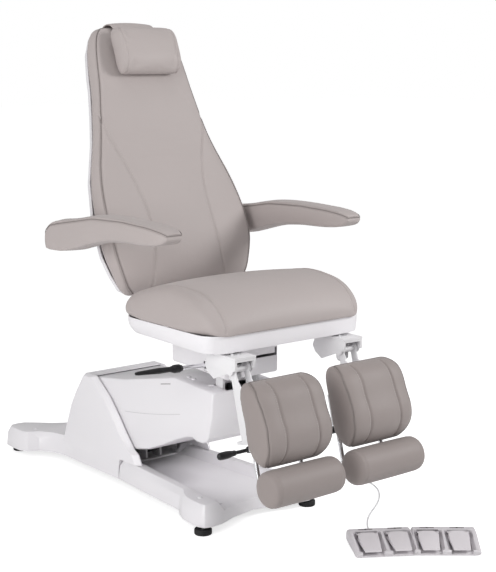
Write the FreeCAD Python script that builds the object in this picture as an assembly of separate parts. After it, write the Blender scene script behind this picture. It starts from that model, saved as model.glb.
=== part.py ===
import FreeCAD, Part
import math
import os

V = FreeCAD.Vector

# Podiatry chair: a foot chair on a lifting arm, with a swivelling seat, a reclining back,
# two separate leg rests and a four pedal foot control on a cord.
# Millimetres, +Z up. The origin is on the floor, midway between the four levelling feet.
# The occupant faces -Y, and +X is the occupant's left side.

# Fits and walls shared by all pieces
over = 2.0
gap = 0.3
run_fit = 0.05
wall = 4.0
plate = 6.0
side_run = 3.0
pin_r = 8.0
screw_r = 6.0
screw_h = 2.5

# Floor frame and covers
foot_span_x = 384.0
foot_span_y = 1028.0
foot_mid_y = 0.0
foot_r = 25.0
foot_puck_h = 16.0
stem_r = 6.0
base_low = 22.0
base_edge = 66.0
base_top = 85.0
base_edge_in = 14.0
front_y = -538.0
seam_y = -18.0
rear_y = 554.0
front_half = 209.0
rear_half = 238.0
waist_out = 2.0
deck_front_z = 57.0
deck_rear_z = 64.0
deck_floor_front = 128.0
deck_floor_rear = 66.0
deck_slope = 22.0
tube_h = 22.0
tube_w = 40.0
frame_z = 28.0
rail_in = 80.0
cross_w = 30.0
tray_t = 3.0
box_front = 212.0
box_len = 140.0
box_half = 66.0
box_h = 20.0
gland_r = 8.0
gland_len = 16.0
inlet_half = 13.0
inlet_h = 20.0
inlet_rim = 3.0
inlet_len = 24.0
inlet_face_y = 455.5
inlet_z = 44.0
prong_r = 1.5

# Tower cheeks of the rear cover and the lifting arm between them
cheek_t = 18.0
cheek_gap = 5.0
cheek_bevel = 18.0
tower_top = 320.0
tower_back = 188.0
tower_bar = 46.0
arm_half = 122.0
lift_y = 100.0
lift_z = 262.0
arm_reach = 526.5
arm_rise = 83.0
link_dy = 25.0
link_dz = -60.0
arm_bar_w = 16.0
arm_bar_h = 44.0
link_bar_x = 46.0
link_bar_w = 10.0
link_bar_h = 22.0
tower_plate_in = 22.0
neck_gap_share = 0.28
arm_gap_share = 0.24
hub_r = 20.0
link_hub_r = 14.0
tower_len = 388.0
tower_wall = 18.0
cover_round = 10.0
neck_gate_x = 70.0
neck_gate_front = 39.0
neck_gate_rear = 26.0
neck_half = 16.0
ram_y = 21.5
ram_z = 95.0
ram_arm = 312.0
ram_pin_r = 9.0
ram_rod_r = 9.0
ram_eye_r = 20.0
eye_room = 3.5
motor_r = 21.0
housing_share = 0.62
bore_share = 0.22

# Carriage under the seat, placed from the front pivot of the arm
carriage_half = 100.0
carriage_ahead = 66.5
carriage_len = 255.0
carriage_rise = 73.0
carriage_h = 96.0
carriage_cut = 12.0
swivel_behind = 60.5
turntable_r = 90.0
turntable_sunk = 18.0
slot_h = 8.0
slot_x0 = 13.0
slot_x1 = 92.0
spigot_r = 30.0
spigot_h = 9.0
bearing_h = 16.0
lever_ahead = 39.5
lever_up = 29.0
lever_rise = 11.0
lever_r = 6.0
lever_pivot_x = -78.0
lever_pin_r = 4.0
lever_hub_r = 9.0
lever_hub_w = 14.0
lever_grip_x = -183.0
lever_tip_x = -337.0
lever_grip_r = 12.0

# Seat, placed from the swivel's axis and the top of the carriage
seat_half = 277.0
pan_ahead = 298.0
pan_len = 426.0
pan_up = 11.0
bowl_h = 18.0
band_h = 47.0
pan_corner = 62.0
bowl_ahead = 190.0
column_r = 50.0
hub_plate = 46.0
beam_up = 26.0
beam_ahead = 266.0
rear_gate_x = 150.0
seat_lip = 9.5
cushion_h = 116.0
hinge_behind = 52.0
hinge_up = 85.0
hinge_x = 118.0
bolt_x = 192.0
bolt_ahead = 289.0
bolt_r = 9.0
bolt_head_r = 15.0
bolt_head_h = 4.0
bolt_plate_up = 6.0
bolt_plate_len = 90.0
crank_r = 55.0
crank_deg = 30.0
back_ram_r = 15.0
back_ram_len = 200.0
back_eye_r = 15.0
back_eye_room = 4.5

# Back, headrest and armrests
recline_deg = 21.6
back_len = 852.0
back_half = 260.0
back_board = -14.0
back_depth = 82.0
shell_depth = 48.0
shell_in = 7.0
shell_deep_in = 45.0
back_gate_x = 128.0
hinge_tube_r = 15.0
arm_shaft_r = 12.5
arm_shaft_t = 217.0
arm_shaft_n = -31.5
arm_disc_r = 34.0
socket_x = 210.0
frame_low_share = 0.15
frame_top_share = 0.72
arm_x = 318.0
armrest_w = 74.0
armrest_len = 620.5
armrest_h = 128.0
armrest_ahead = 203.0
armrest_up = 142.0
pillow_half = 109.0
pillow_h = 142.0
pillow_t = 60.0
pillow_down = 182.0
weight_down = 152.0
weight_h = 95.0
weight_t = 30.0
strap_half = 75.0
strap_t = 4.0
strap_share = 0.80

# Leg rests
knee_x = 192.0
knee_ahead = 13.5
knee_up = 7.5
lean_deg = 15.0
knee_v = 38.0
pad_in = 45.0
pad_half = 112.0
pad_top = 74.0
pad_len = 222.0
pad_back = 60.0
pad_depth = 108.0
roll_v = 348.0
roll_n = 122.0
roll_r = 47.5
roll_half = 120.0
bracket_half = 35.0
fork_half = 25.0
fork_t = 4.0
rod_r = 6.0
rod_x = 74.0
rod_n = 42.0
rod_top = 125.0
sleeve_top = 150.0
sleeve_len = 85.0
bend_share = 0.4
bracket_ahead = 49.0
bracket_len = 130.0
bracket_h = 64.0
fork_low = 236.0
fork_back = 10.0
fork_deep = 30.0
pad_gap = 18.0
spring_n = 27.0
spring_r = 9.0
spring_rod_r = 4.0
spring_eye_r = 13.0
spring_pin_r = 5.0
spring_room = 3.6
spring_pin_dy = 18.5
spring_pin_dz = -23.6
spring_stroke = 36.0
spring_top = 100.0
release_v = 252.0
release_n = -15.0
release_hub_w = 10.0
release_hub_r = 9.0
release_r = 5.0
release_reach = 47.0
release_grip_len = 57.0
release_grip_r = 7.5

# Foot control and its cord
control_x = 188.0
control_y = -955.0
control_turn = -35.6
half_turn = 3.6
control_half = 174.0
control_depth = 132.0
control_h = 38.0
control_lip = 13.0
control_foot_h = 4.0
pedal_w = 56.0
pedal_pitch = 82.0
cord_r = 2.5
cord_share = 0.45
pedal_pin_r = 2.0
# Places along the cord, from the foot control over the floor to the gland under the tower
cord_places = [(142.0, -840.0, 17.0), (160.0, -815.0, 14.0), (182.0, -786.0, 5.0), (212.0, -750.0, 2.6),
               (252.0, -712.0, 2.6), (305.0, -676.0, 2.6), (362.0, -640.0, 2.6), (414.0, -596.0, 2.6),
               (458.0, -541.0, 2.6), (482.0, -478.0, 2.6), (470.0, -414.0, 2.6), (418.0, -372.0, 2.6),
               (352.0, -344.0, 2.6), (284.0, -316.0, 2.6), (220.0, -282.0, 2.6), (162.0, -238.0, 2.6),
               (112.0, -184.0, 2.6), (74.0, -122.0, 2.6), (50.0, -54.0, 2.6), (38.0, 14.0, 2.6),
               (24.0, 78.0, 6.0), (8.0, 132.0, 24.0), (0.0, 178.0, 41.5), (0.0, 196.0, 41.5)]

os.makedirs("parts", exist_ok=True)


def save(name, shape):
    shape.exportStep("parts/" + name + ".step")


def block(x0, x1, y0, y1, z0, z1):
    """Box between two corners, given in any order."""
    low = V(min(x0, x1), min(y0, y1), min(z0, z1))
    return Part.makeBox(abs(x1 - x0), abs(y1 - y0), abs(z1 - z0), low)


def rod(a, b, radius):
    """Round bar from point a to point b."""
    way = b.sub(a)
    return Part.makeCylinder(radius, way.Length, a, way)


def wire(points):
    return Part.makePolygon(list(points) + [points[0]])


def prism_x(points, x0, x1):
    """Side profile of (y, z) points, carried across from x0 to x1."""
    face = Part.Face(wire([V(x0, y, z) for y, z in points]))
    return face.extrude(V(x1 - x0, 0, 0))


def prism_z(points, z0, z1):
    """Plan outline of (x, y) points, carried up from z0 to z1."""
    face = Part.Face(wire([V(x, y, z0) for x, y in points]))
    return face.extrude(V(0, 0, z1 - z0))


def both_sides(half):
    """Closed outline from the points of its -X half, listed front to rear."""
    return list(half) + [(-x, y) for x, y in reversed(half) if x != 0]


def inset(points, step):
    """Outline moved inwards by step, corner by corner."""
    area = 0
    count = len(points)
    for i in range(count):
        x0, y0 = points[i]
        x1, y1 = points[(i + 1) % count]
        area += x0 * y1 - x1 * y0
    turn = 1 if area > 0 else -1
    moved = []
    for i in range(count):
        ax, ay = points[i - 1]
        bx, by = points[i]
        cx, cy = points[(i + 1) % count]
        one = V(bx - ax, by - ay, 0).normalize()
        two = V(cx - bx, cy - by, 0).normalize()
        n1 = V(-one.y, one.x, 0) * turn
        n2 = V(-two.y, two.x, 0) * turn
        mid = n1.add(n2).normalize()
        reach = step / max(mid.dot(n1), 0.5)
        moved.append((bx + mid.x * reach, by + mid.y * reach))
    return moved


def stack(levels):
    """Ruled solid through outlines of equal count: (points, z) pairs."""
    return Part.makeLoft([wire([V(x, y, z) for x, y in pts]) for pts, z in levels], True, True)


def arc(a, b, c):
    return Part.Arc(a, b, c).toShape()


def smooth(wires):
    return Part.makeLoft(wires, True, False)


def mirror(shape):
    return shape.mirror(V(0, 0, 0), V(1, 0, 0))


def turned(shape, angle, base):
    """Copy turned about the X direction through base."""
    out = shape.copy()
    out.rotate(base, V(1, 0, 0), angle)
    return out


def moved(shape, x, y, z):
    out = shape.copy()
    out.translate(V(x, y, z))
    return out


def fuse(parts):
    out = parts[0]
    for piece in parts[1:]:
        out = out.fuse(piece)
    return out.removeSplitter()


def cut(shape, tools):
    for tool in tools:
        shape = shape.cut(tool)
    return shape


def group(parts):
    return Part.makeCompound(parts)


def cross_bar(y, z, radius, x0, x1):
    return rod(V(x0, y, z), V(x1, y, z), radius)


def pad(point, rows):
    """Upholstered solid lofted through sections: flat below, drawn-in sides and three panels on top.

    Each row is (place along, half width, lowest, edge, crown, seam half width)."""
    wires = []
    for along, half, low, edge, crown, seam in rows:
        rise = crown - edge
        side = low + (edge - low) * bulge_share
        top_half = half * edge_share
        valley = edge + rise * valley_share
        puff_u = (top_half + seam) / 2
        puff_n = (edge + valley) / 2 + rise * puff_share + (edge - low) * puff_share
        p1, p2 = point(-half * draw_share, along, low), point(half * draw_share, along, low)
        e1, e2 = point(-top_half, along, edge), point(top_half, along, edge)
        s1, s2 = point(-seam, along, valley), point(seam, along, valley)
        wires.append(Part.Wire([
            Part.LineSegment(p1, p2).toShape(),
            arc(p2, point(half, along, side), e2),
            arc(e2, point(puff_u, along, puff_n), s2),
            arc(s2, point(0, along, crown), s1),
            arc(s1, point(-puff_u, along, puff_n), e1),
            arc(e1, point(-half, along, side), p1)]))
    return smooth(wires)


def scaled(rows, start, length, half, base, height):
    """Rows of shares turned into real sizes."""
    return [(start + a * length, w * half, base + low * height, base + edge * height,
             base + crown * height, w * half * seam) for a, w, low, edge, crown, seam in rows]


def rounded_x(points, x0, x1, edge_r):
    """Side profile carried across, with its outer edges rounded off in two steps."""
    steps = [(0, 1), (step_share, step_share), (1, 0)]
    levels = [(x0 + a * edge_r, b * edge_r) for a, b in steps]
    levels += [(x1 - a * edge_r, b * edge_r) for a, b in reversed(steps)]
    wires = [wire([V(x, y, z) for y, z in inset(points, step)]) for x, step in levels]
    return Part.makeLoft(wires, True, True)


def bar_between(a, b, width, x0, x1):
    """Flat bar in a side view, from (y, z) point a to b, with the given width."""
    way = V(b[0] - a[0], b[1] - a[1], 0)
    side = V(-way.y, way.x, 0).normalize().multiply(width / 2)
    corners = [(a[0] + side.x, a[1] + side.y), (b[0] + side.x, b[1] + side.y),
               (b[0] - side.x, b[1] - side.y), (a[0] - side.x, a[1] - side.y)]
    return prism_x(corners, x0, x1)


def bent(points, share):
    """Wire of straight runs joined by tangent arcs, and the radii of the arcs."""
    edges = []
    radii = []
    start = points[0]
    for i in range(1, len(points) - 1):
        a, b, c = points[i - 1], points[i], points[i + 1]
        come = b.sub(a).normalize()
        go = c.sub(b).normalize()
        run = min(b.sub(a).Length, c.sub(b).Length)
        half_turn_angle = come.getAngle(go) / 2
        setback = share * run
        radius = setback / math.tan(half_turn_angle)
        first = b.sub(V(come).multiply(setback))
        last = b.add(V(go).multiply(setback))
        inward = V(go).sub(come).normalize()
        middle = b.add(inward.multiply(radius / math.cos(half_turn_angle) - radius))
        edges.append(Part.LineSegment(start, first).toShape())
        edges.append(arc(first, middle, last))
        radii.append(radius)
        start = last
    edges.append(Part.LineSegment(start, points[-1]).toShape())
    return Part.Wire(edges), radii


def tube(points, radius, share):
    path, radii = bent(points, share)
    way = points[1].sub(points[0])
    ring = Part.Wire(Part.makeCircle(radius, points[0], way))
    body = path.makePipeShell([ring], True, False)
    return body, path, radii


# Shares that shape the upholstery and the rounded covers
bulge_share = 0.45
edge_share = 0.955
valley_share = 0.55
puff_share = 0.05
draw_share = 0.93
step_share = 0.3

# Places worked out from the sizes above
foot_front_y = foot_mid_y - foot_span_y / 2
foot_rear_y = foot_mid_y + foot_span_y / 2
foot_places = [(sx * foot_span_x / 2, y) for sx in (-1, 1) for y in (foot_front_y, foot_rear_y)]
carry_y = lift_y - arm_reach
carry_z = lift_z + arm_rise
pivot_rear = (lift_y, lift_z)
pivot_front = (carry_y, carry_z)
link_rear = (lift_y + link_dy, lift_z + link_dz)
link_front = (carry_y + link_dy, carry_z + link_dz)
arm_len = math.hypot(arm_reach, arm_rise)
arm_way = (-arm_reach / arm_len, arm_rise / arm_len)
cheek_in = arm_half + cheek_gap
cheek_out = cheek_in + cheek_t
well_half = arm_half
seam_half = cheek_out + waist_out
tower_plate_x = arm_half - tower_plate_in
link_out = link_bar_x + link_bar_w / 2
free_width = tower_plate_x - link_out - wall * 2 - arm_bar_w
neck_plate_x = link_out + free_width * neck_gap_share + wall
arm_bar_x = neck_plate_x + wall + free_width * arm_gap_share + arm_bar_w / 2

# Carriage, seat, armrests and leg rests all follow the front pivot of the arm
carriage_front = carry_y - carriage_ahead
carriage_rear = carriage_front + carriage_len
carriage_low = carry_z + carriage_rise
carriage_top = carriage_low + carriage_h
swivel_y = carry_y + swivel_behind
turntable_low = carriage_top - turntable_sunk
lever_y = swivel_y - lever_ahead
lever_z = carriage_low + lever_up
pan_front = swivel_y - pan_ahead
pan_rear = pan_front + pan_len
pan_low = carriage_top + pan_up
pan_band = pan_low + bowl_h
pan_top = pan_band + band_h
bowl_front = swivel_y - bowl_ahead
beam_z = pan_low + beam_up
beam_front_y = swivel_y - beam_ahead
hinge_y = pan_rear + hinge_behind
hinge_z = pan_low + hinge_up
bolt_y = swivel_y - bolt_ahead
bolt_plate_z = pan_low + bolt_plate_up
armrest_front = swivel_y - armrest_ahead
armrest_low = hinge_z + armrest_up
pillow_low = back_len - pillow_down
weight_low = back_len - weight_down
knee_ref_y = bolt_y - knee_ahead
knee_ref_z = bolt_plate_z + knee_up
bracket_front = bolt_y - bracket_ahead


def on_arm(distance):
    return (lift_y + arm_way[0] * distance, lift_z + arm_way[1] * distance)


# Levelling feet: rubber pucks on threaded stems
def levelling_feet():
    pucks = []
    for x, y in foot_places:
        puck = Part.makeCylinder(foot_r, foot_puck_h, V(x, y, 0))
        rims = [e for e in puck.Edges if len(e.Vertexes) == 1]
        pucks.append(puck.makeFillet(foot_r / 8, rims))
    save("levelling_feet", group(pucks))
    save("foot_stems", group([Part.makeCylinder(stem_r, frame_z - foot_puck_h, V(x, y, foot_puck_h))
                              for x, y in foot_places]))


# Steel floor frame: two long tubes, cross tubes over the feet and a tray for the control box
def base_frame():
    top = frame_z + tube_h
    pieces = []
    rail_out = rail_in + tube_w
    front = foot_front_y + cross_w
    rear = foot_rear_y - tube_w * 2
    for side in (-1, 1):
        pieces.append(block(side * rail_in, side * rail_out, front, rear, frame_z, top))
        foot_x = side * foot_span_x / 2
        for foot_y, root_y, inward in ((foot_front_y, front, 1), (foot_rear_y, rear, -1)):
            arm = [(side * rail_in, root_y), (foot_x, foot_y - inward * pin_r),
                   (foot_x, foot_y + inward * pin_r), (side * rail_out, root_y + inward * tube_w)]
            pieces.append(prism_z(arm, frame_z, top))
            pieces.append(Part.makeCylinder(pin_r, tube_h, V(foot_x, foot_y, frame_z)))
    for y in (front, rear - cross_w * 2):
        pieces.append(block(-rail_in, rail_in, y, y + cross_w, frame_z, top))
    pieces.append(block(-rail_in, rail_in, seam_y - tube_w, seam_y, frame_z, top))
    pieces.append(block(-rail_in, rail_in, box_front, box_front + box_len, frame_z, frame_z + tray_t))
    save("base_frame", fuse(pieces))


def control_box():
    low = frame_z + tray_t
    body = block(-box_half, box_half, box_front, box_front + box_len, low, low + box_h)
    uprights = [e for e in body.Edges if abs(e.Vertexes[0].Z - e.Vertexes[1].Z) > over]
    save("control_box", body.makeFillet(wall, uprights))
    end = cord_points()[-1]
    nut = rod(V(end.x, box_front, end.z), V(end.x, box_front - gland_len / 2, end.z), gland_r)
    cone = Part.makeCone(gland_r * 0.8, cord_r * 1.5, gland_len / 2,
                         V(end.x, box_front - gland_len / 2, end.z), V(0, -1, 0))
    save("cable_gland", fuse([nut, cone]))


def mains_inlet():
    body = block(-inlet_half, inlet_half, inlet_face_y - inlet_len, inlet_face_y, inlet_z - inlet_h / 2,
                 inlet_z + inlet_h / 2)
    rim = block(-inlet_half - inlet_rim, inlet_half + inlet_rim, inlet_face_y - side_run, inlet_face_y,
                inlet_z - inlet_h / 2 - inlet_rim, inlet_z + inlet_h / 2 + inlet_rim)
    mouth = block(-inlet_half + inlet_rim, inlet_half - inlet_rim, inlet_face_y - inlet_len / 2,
                  inlet_face_y + over, inlet_z - inlet_h / 2 + inlet_rim, inlet_z + inlet_h / 2 - inlet_rim)
    pin_x = inlet_half / 2
    root = inlet_face_y - inlet_len / 2
    prongs = [rod(V(x, root, inlet_z), V(x, inlet_face_y - inlet_rim, inlet_z), prong_r)
              for x in (-pin_x, 0, pin_x)]
    save("mains_inlet", fuse([fuse([body, rim]).cut(mouth)] + prongs))


# Plans of the two covers, -X half, as shares of a half width and of the cover's length:
# the wide ends follow the cover's own half width and the waists follow the seam's
front_plan_shares = [(0, 0.075), (-0.38, 0.05), (-0.66, 0.008), (-0.86, 0), (-0.955, 0.012), (-1, 0.05),
                     (-1, 0.13), (-0.975, 0.205), (-0.90, 0.275)]
front_waist_shares = [(-1.152, 0.33), (-1.081, 0.69)]
rear_waist_shares = [(-1.012, 0.24), (-1.012, 0.46), (-1.02, 0.575), (-1.10, 0.655)]
rear_plan_shares = [(-0.79, 0.725), (-0.93, 0.755), (-0.99, 0.80), (-1, 0.90), (-0.985, 0.96),
                    (-0.90, 0.995), (-0.78, 1), (-0.66, 0.99), (-0.52, 0.94), (-0.36, 0.875),
                    (-0.2, 0.83), (0, 0.82)]


def spread(shares, half, start, end):
    return [(sx * half, start + sy * (end - start)) for sx, sy in shares]


def front_plan():
    wide = spread(front_plan_shares, front_half, front_y, seam_y)
    waist = spread(front_waist_shares, seam_half, front_y, seam_y)
    return both_sides(wide + waist + [(-seam_half, seam_y - gap)])


def rear_plan():
    waist = spread(rear_waist_shares, seam_half, seam_y, rear_y)
    wide = spread(rear_plan_shares, rear_half, seam_y, rear_y)
    return both_sides([(-seam_half, seam_y + gap)] + waist + wide)


def cover_body(plan):
    """Skirted cover with a sloped shoulder, hollow from below."""
    outer = stack([(plan, base_low), (inset(plan, wall), base_edge), (inset(plan, base_edge_in), base_top)])
    hollow = prism_z(inset(plan, wall * 1.5), base_low - over, deck_front_z - wall)
    return outer, hollow


def seam_gate():
    """Way through the two end walls at the seam for the floor frame and the cord."""
    return block(-seam_half + wall * 2, seam_half - wall * 2, seam_y - wall * 4, seam_y + wall * 4,
                 base_low - over, deck_front_z - wall)


def deck_cut():
    """Sunken deck between the side rails, falling gently to the front."""
    wires = []
    for y, half, floor in ((front_y - over, deck_floor_front, deck_front_z),
                           (tower_back, deck_floor_rear, deck_rear_z)):
        wide = half + deck_slope
        wires.append(wire([V(-half, y, floor), V(half, y, floor), V(wide, y, base_top + over),
                           V(-wide, y, base_top + over)]))
    return Part.makeLoft(wires, True, True)


def base_front():
    outer, hollow = cover_body(front_plan())
    shell = cut(outer, [hollow, seam_gate(), deck_cut()])
    caps = []
    cap_y = front_y + deck_floor_front / 2
    for side in (-1, 1):
        for y in (cap_y, cap_y + screw_r * 4):
            slope_z = deck_front_z + (deck_rear_z - deck_front_z) * (y - front_y) / (tower_back - front_y)
            spot = V(side * deck_floor_front * 0.8, y, slope_z + gap)
            caps.append(Part.makeCylinder(screw_r, screw_h, spot))
    save("base_cover_front", group([shell] + caps))


# Side profile of a tower cheek as (y, z) shares of the tower's length and rise, from the rear foot
# over the top and down the sloping front edge
cheek_rear_shares = [(0.335, 0), (0.273, 0.276), (0.193, 0.559), (0.116, 0.748), (0, 0.985), (-0.015, 1)]
cheek_front_shares = [(-0.171, 1), (-0.36, 0.79), (-0.473, 0.614), (-0.597, 0.398), (-0.695, 0.244),
                      (-0.756, 0.197), (-0.80, 0.082), (-0.54, 0.078), (-0.53, 0)]


def tower_point(share):
    return (tower_back + share[0] * tower_len, base_edge + share[1] * (tower_top - base_edge))


def base_rear():
    outer, hollow = cover_body(rear_plan())
    shell = cut(outer, [hollow, seam_gate(), deck_cut()])
    rear_edge = [tower_point(share) for share in cheek_rear_shares]
    profile = rear_edge + [tower_point(share) for share in cheek_front_shares]
    first_front = len(rear_edge)
    slim = []
    for i, (y, z) in enumerate(profile):
        back = cheek_bevel if first_front <= i < len(profile) - 2 else 0
        down = cheek_bevel / 3 if z > base_top + tower_bar else 0
        slim.append((y + back - (cheek_bevel / 3 if i < first_front else 0), z - down))
    towers = []
    for side in (-1, 1):
        faces = [wire([V(side * x, y, z) for y, z in pts])
                 for x, pts in ((cheek_in, profile), (cheek_in + wall, profile), (cheek_out, slim))]
        towers.append(Part.makeLoft(faces, True, True))
    inner_back = [(y - tower_wall, z) for y, z in rear_edge]
    bar = prism_x(rear_edge + list(reversed(inner_back)), -cheek_in, cheek_in)
    shell = fuse([shell] + towers + [bar])
    well = block(-well_half, well_half, seam_y + wall * 4, tower_back, base_low - over, base_top + over)
    port = block(-inlet_half - gap, inlet_half + gap, inlet_face_y - inlet_len, inlet_face_y + over,
                 inlet_z - inlet_h / 2 - gap, inlet_z + inlet_h / 2 + gap)
    save("base_cover_rear", cut(shell, [well, port]))


# Steel bracket that stands on the frame inside the tower and carries the lifting linkage
def tower_bracket():
    low = frame_z + tube_h
    floor = low + plate
    pieces = [block(-well_half + side_run, well_half - side_run, seam_y + wall * 5, tower_back - wall,
                    low, floor)]
    foot_front = (lift_y - hub_r * 4, floor)
    foot_rear = (tower_back - wall * 2, floor)
    profile = [foot_front, foot_rear, (lift_y + hub_r * 2, lift_z), (lift_y - hub_r * 2, lift_z)]
    for side in (-1, 1):
        inner = side * tower_plate_x
        outer = side * (tower_plate_x + plate)
        pieces.append(prism_x(profile, inner, outer))
        pieces.append(cross_bar(lift_y, lift_z, hub_r * 2, inner, outer))
        lug_in = side * (motor_r + side_run)
        lug_out = side * (motor_r + side_run + plate)
        pieces.append(block(lug_in, lug_out, ram_y - hub_r, ram_y + hub_r, floor, ram_z))
        pieces.append(cross_bar(ram_y, ram_z, hub_r, lug_in, lug_out))
    for y, z in (pivot_rear, link_rear, (ram_y, ram_z)):
        span = motor_r + side_run + plate if (y, z) == (ram_y, ram_z) else tower_plate_x + plate
        pieces.append(cross_bar(y, z, pin_r, -span, span))
    save("tower_bracket", fuse(pieces))


# Lifting arm: two bars, cross tubes, and a moulded cover round them
def lift_arm_frame():
    pieces = []
    for side in (-1, 1):
        inner = side * (arm_bar_x - arm_bar_w / 2)
        outer = side * (arm_bar_x + arm_bar_w / 2)
        side_bar = bar_between(pivot_rear, pivot_front, arm_bar_h, inner, outer)
        hubs = [cross_bar(y, z, arm_bar_h / 2, inner, outer) for y, z in (pivot_rear, pivot_front)]
        stubs = []
        for share in (0.47, 0.78):
            y, z = on_arm(arm_len * share)
            stubs.append(cross_bar(y, z, pin_r, outer, side * (arm_half - wall)))
        pieces.append(fuse([side_bar] + hubs + stubs))
    y, z = on_arm(arm_bar_x)
    pieces.append(cross_bar(y, z, link_hub_r, -arm_bar_x, arm_bar_x))
    y, z = on_arm(ram_arm)
    pieces.append(cross_bar(y, z, ram_pin_r, -arm_bar_x, arm_bar_x))
    holes = [cross_bar(y, z, pin_r + run_fit, -arm_half, arm_half) for y, z in (pivot_rear, pivot_front)]
    save("lift_arm_frame", cut(fuse(pieces), holes))


# Side profile of the arm cover, (y, z) shares of the arm's reach from the rear pivot
arm_cover_shares = [(0.07, 0.099), (-0.218, 0.141), (-0.727, 0.247), (-1.069, 0.228), (-1.086, 0.22),
                    (-1.08, 0.178), (-1.072, 0.095), (-1.04, -0.035), (-1.015, -0.062),
                    (-0.975, -0.078), (-0.925, -0.078), (-0.888, -0.065), (-0.835, -0.074),
                    (-0.736, -0.112), (-0.604, -0.173), (-0.47, -0.228), (-0.335, -0.261),
                    (-0.2, -0.262), (-0.07, -0.205)]


def lift_arm_cover():
    profile = [(lift_y + sy * arm_reach, lift_z + sz * arm_reach) for sy, sz in arm_cover_shares]
    outer = rounded_x(profile, -arm_half, arm_half, cover_round)
    inner_half = arm_half - wall
    hollow = prism_x(inset(profile, wall), -inner_half, inner_half)
    rear_top = profile[0]
    under = profile[-3]
    mouth = prism_x([(rear_top[0] + arm_half, rear_top[1] - wall),
                     (rear_top[0] - wall * 2, rear_top[1] - wall),
                     (under[0], under[1] + wall * 2), (under[0], under[1] - arm_half),
                     (rear_top[0] + arm_half, under[1] - arm_half)], -inner_half, inner_half)
    neck = block(-neck_gate_x, neck_gate_x, carry_y - neck_gate_front, carry_y + neck_gate_rear, carry_z,
                 carry_z + arm_half)
    shell = cut(outer, [hollow, mouth, neck])
    caps = []
    for side in (-1, 1):
        spot_y = carry_y + arm_half
        spot_z = profile[2][1] - (profile[2][1] - profile[3][1]) * (profile[2][0] - spot_y) / (
            profile[2][0] - profile[3][0])
        caps.append(Part.makeCylinder(screw_r, screw_h, V(side * neck_gate_x * 1.2, spot_y, spot_z + gap)))
    save("lift_arm_cover", group([shell] + caps))


def lower_link():
    pieces = []
    for side in (-1, 1):
        inner = side * (link_bar_x - link_bar_w / 2)
        outer = side * (link_bar_x + link_bar_w / 2)
        pieces.append(bar_between(link_rear, link_front, link_bar_h, inner, outer))
        pieces += [cross_bar(y, z, link_hub_r, inner, outer) for y, z in (link_rear, link_front)]
    tie_y = link_rear[0] + (link_front[0] - link_rear[0]) * 0.8
    tie_z = link_rear[1] + (link_front[1] - link_rear[1]) * 0.8
    pieces.append(cross_bar(tie_y, tie_z, screw_r, -link_bar_x, link_bar_x))
    holes = [cross_bar(y, z, pin_r + run_fit, -arm_half, arm_half) for y, z in (link_rear, link_front)]
    save("lower_link", cut(fuse(pieces), holes))


# Lifting actuator: built along a line from its lower pin to its pin on the arm
def lift_ram():
    end_y, end_z = on_arm(ram_arm)
    base = V(0, ram_y, ram_z)
    way = V(0, end_y - ram_y, end_z - ram_z)
    length = way.Length
    way.normalize()
    up = V(0, way.z, -way.y)
    if up.z < 0:
        up = up.multiply(-1)

    def along(distance, rise=0):
        return base.add(V(way).multiply(distance)).add(V(up).multiply(rise))

    housing_end = length * housing_share
    eye_half = motor_r * 0.8
    eye = cross_bar(ram_y, ram_z, hub_r, -eye_half, eye_half)
    housing = rod(along(hub_r / 2), along(housing_end), motor_r)
    motor = rod(along(length * 0.16, motor_r * 1.8), along(length * 0.45, motor_r * 1.8), motor_r * 0.9)
    gearbox = rod(along(length * 0.10, motor_r * 0.9), along(length * 0.16, motor_r * 0.9), motor_r * 1.25)
    bore = rod(along(length * bore_share), along(housing_end + over), ram_rod_r + run_fit)
    hole = cross_bar(ram_y, ram_z, pin_r + run_fit, -arm_half, arm_half)
    save("lift_actuator", cut(fuse([eye, housing, motor, gearbox]), [bore, hole]))
    ram = rod(along(length * (bore_share + 0.04)), along(length - ram_eye_r / 2), ram_rod_r)
    tip_half = ram_rod_r * 0.8
    ram_eye = cross_bar(end_y, end_z, ram_eye_r, -tip_half, tip_half)
    ram_hole = cross_bar(end_y, end_z, ram_pin_r + eye_room, -arm_half, arm_half)
    save("lift_actuator_rod", fuse([ram, ram_eye]).cut(ram_hole))


# Carriage: carried level by the arm and the lower link, under the swivelling seat
def carriage_frame():
    floor = carriage_low + carriage_cut
    pieces = [block(-carriage_half + wall, carriage_half - wall, carriage_front + wall * 2,
                    carriage_rear - wall * 2, floor, floor + plate)]
    for side in (-1, 1):
        inner = side * (neck_plate_x - wall)
        outer = side * (neck_plate_x + wall)
        pieces.append(block(inner, outer, carry_y - neck_half, carry_y + neck_half, carry_z, floor + over))
        pieces.append(bar_between(pivot_front, link_front, link_hub_r * 2, inner, outer))
        pieces.append(cross_bar(carry_y, carry_z, hub_r, inner, outer))
        pieces.append(cross_bar(link_front[0], link_front[1], link_hub_r, inner, outer))
    pieces.append(Part.makeCylinder(spigot_r, turntable_low - floor, V(0, swivel_y, floor)))
    arm_out = arm_bar_x + arm_bar_w / 2 + over
    pieces.append(cross_bar(carry_y, carry_z, pin_r, -arm_out, arm_out))
    pieces.append(cross_bar(link_front[0], link_front[1], pin_r, -neck_plate_x, neck_plate_x))
    top = floor + plate
    for side in (-1, 1):
        near = lever_y + side * (lever_hub_w / 2 + gap)
        far = near + side * wall
        pieces.append(block(lever_pivot_x - lever_hub_r, lever_pivot_x + lever_hub_r, near, far, top,
                            lever_z + lever_hub_r))
    reach = lever_hub_w / 2 + gap + wall
    pieces.append(rod(V(lever_pivot_x, lever_y - reach, lever_z), V(lever_pivot_x, lever_y + reach, lever_z),
                      lever_pin_r))
    save("carriage_frame", fuse(pieces))


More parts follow.
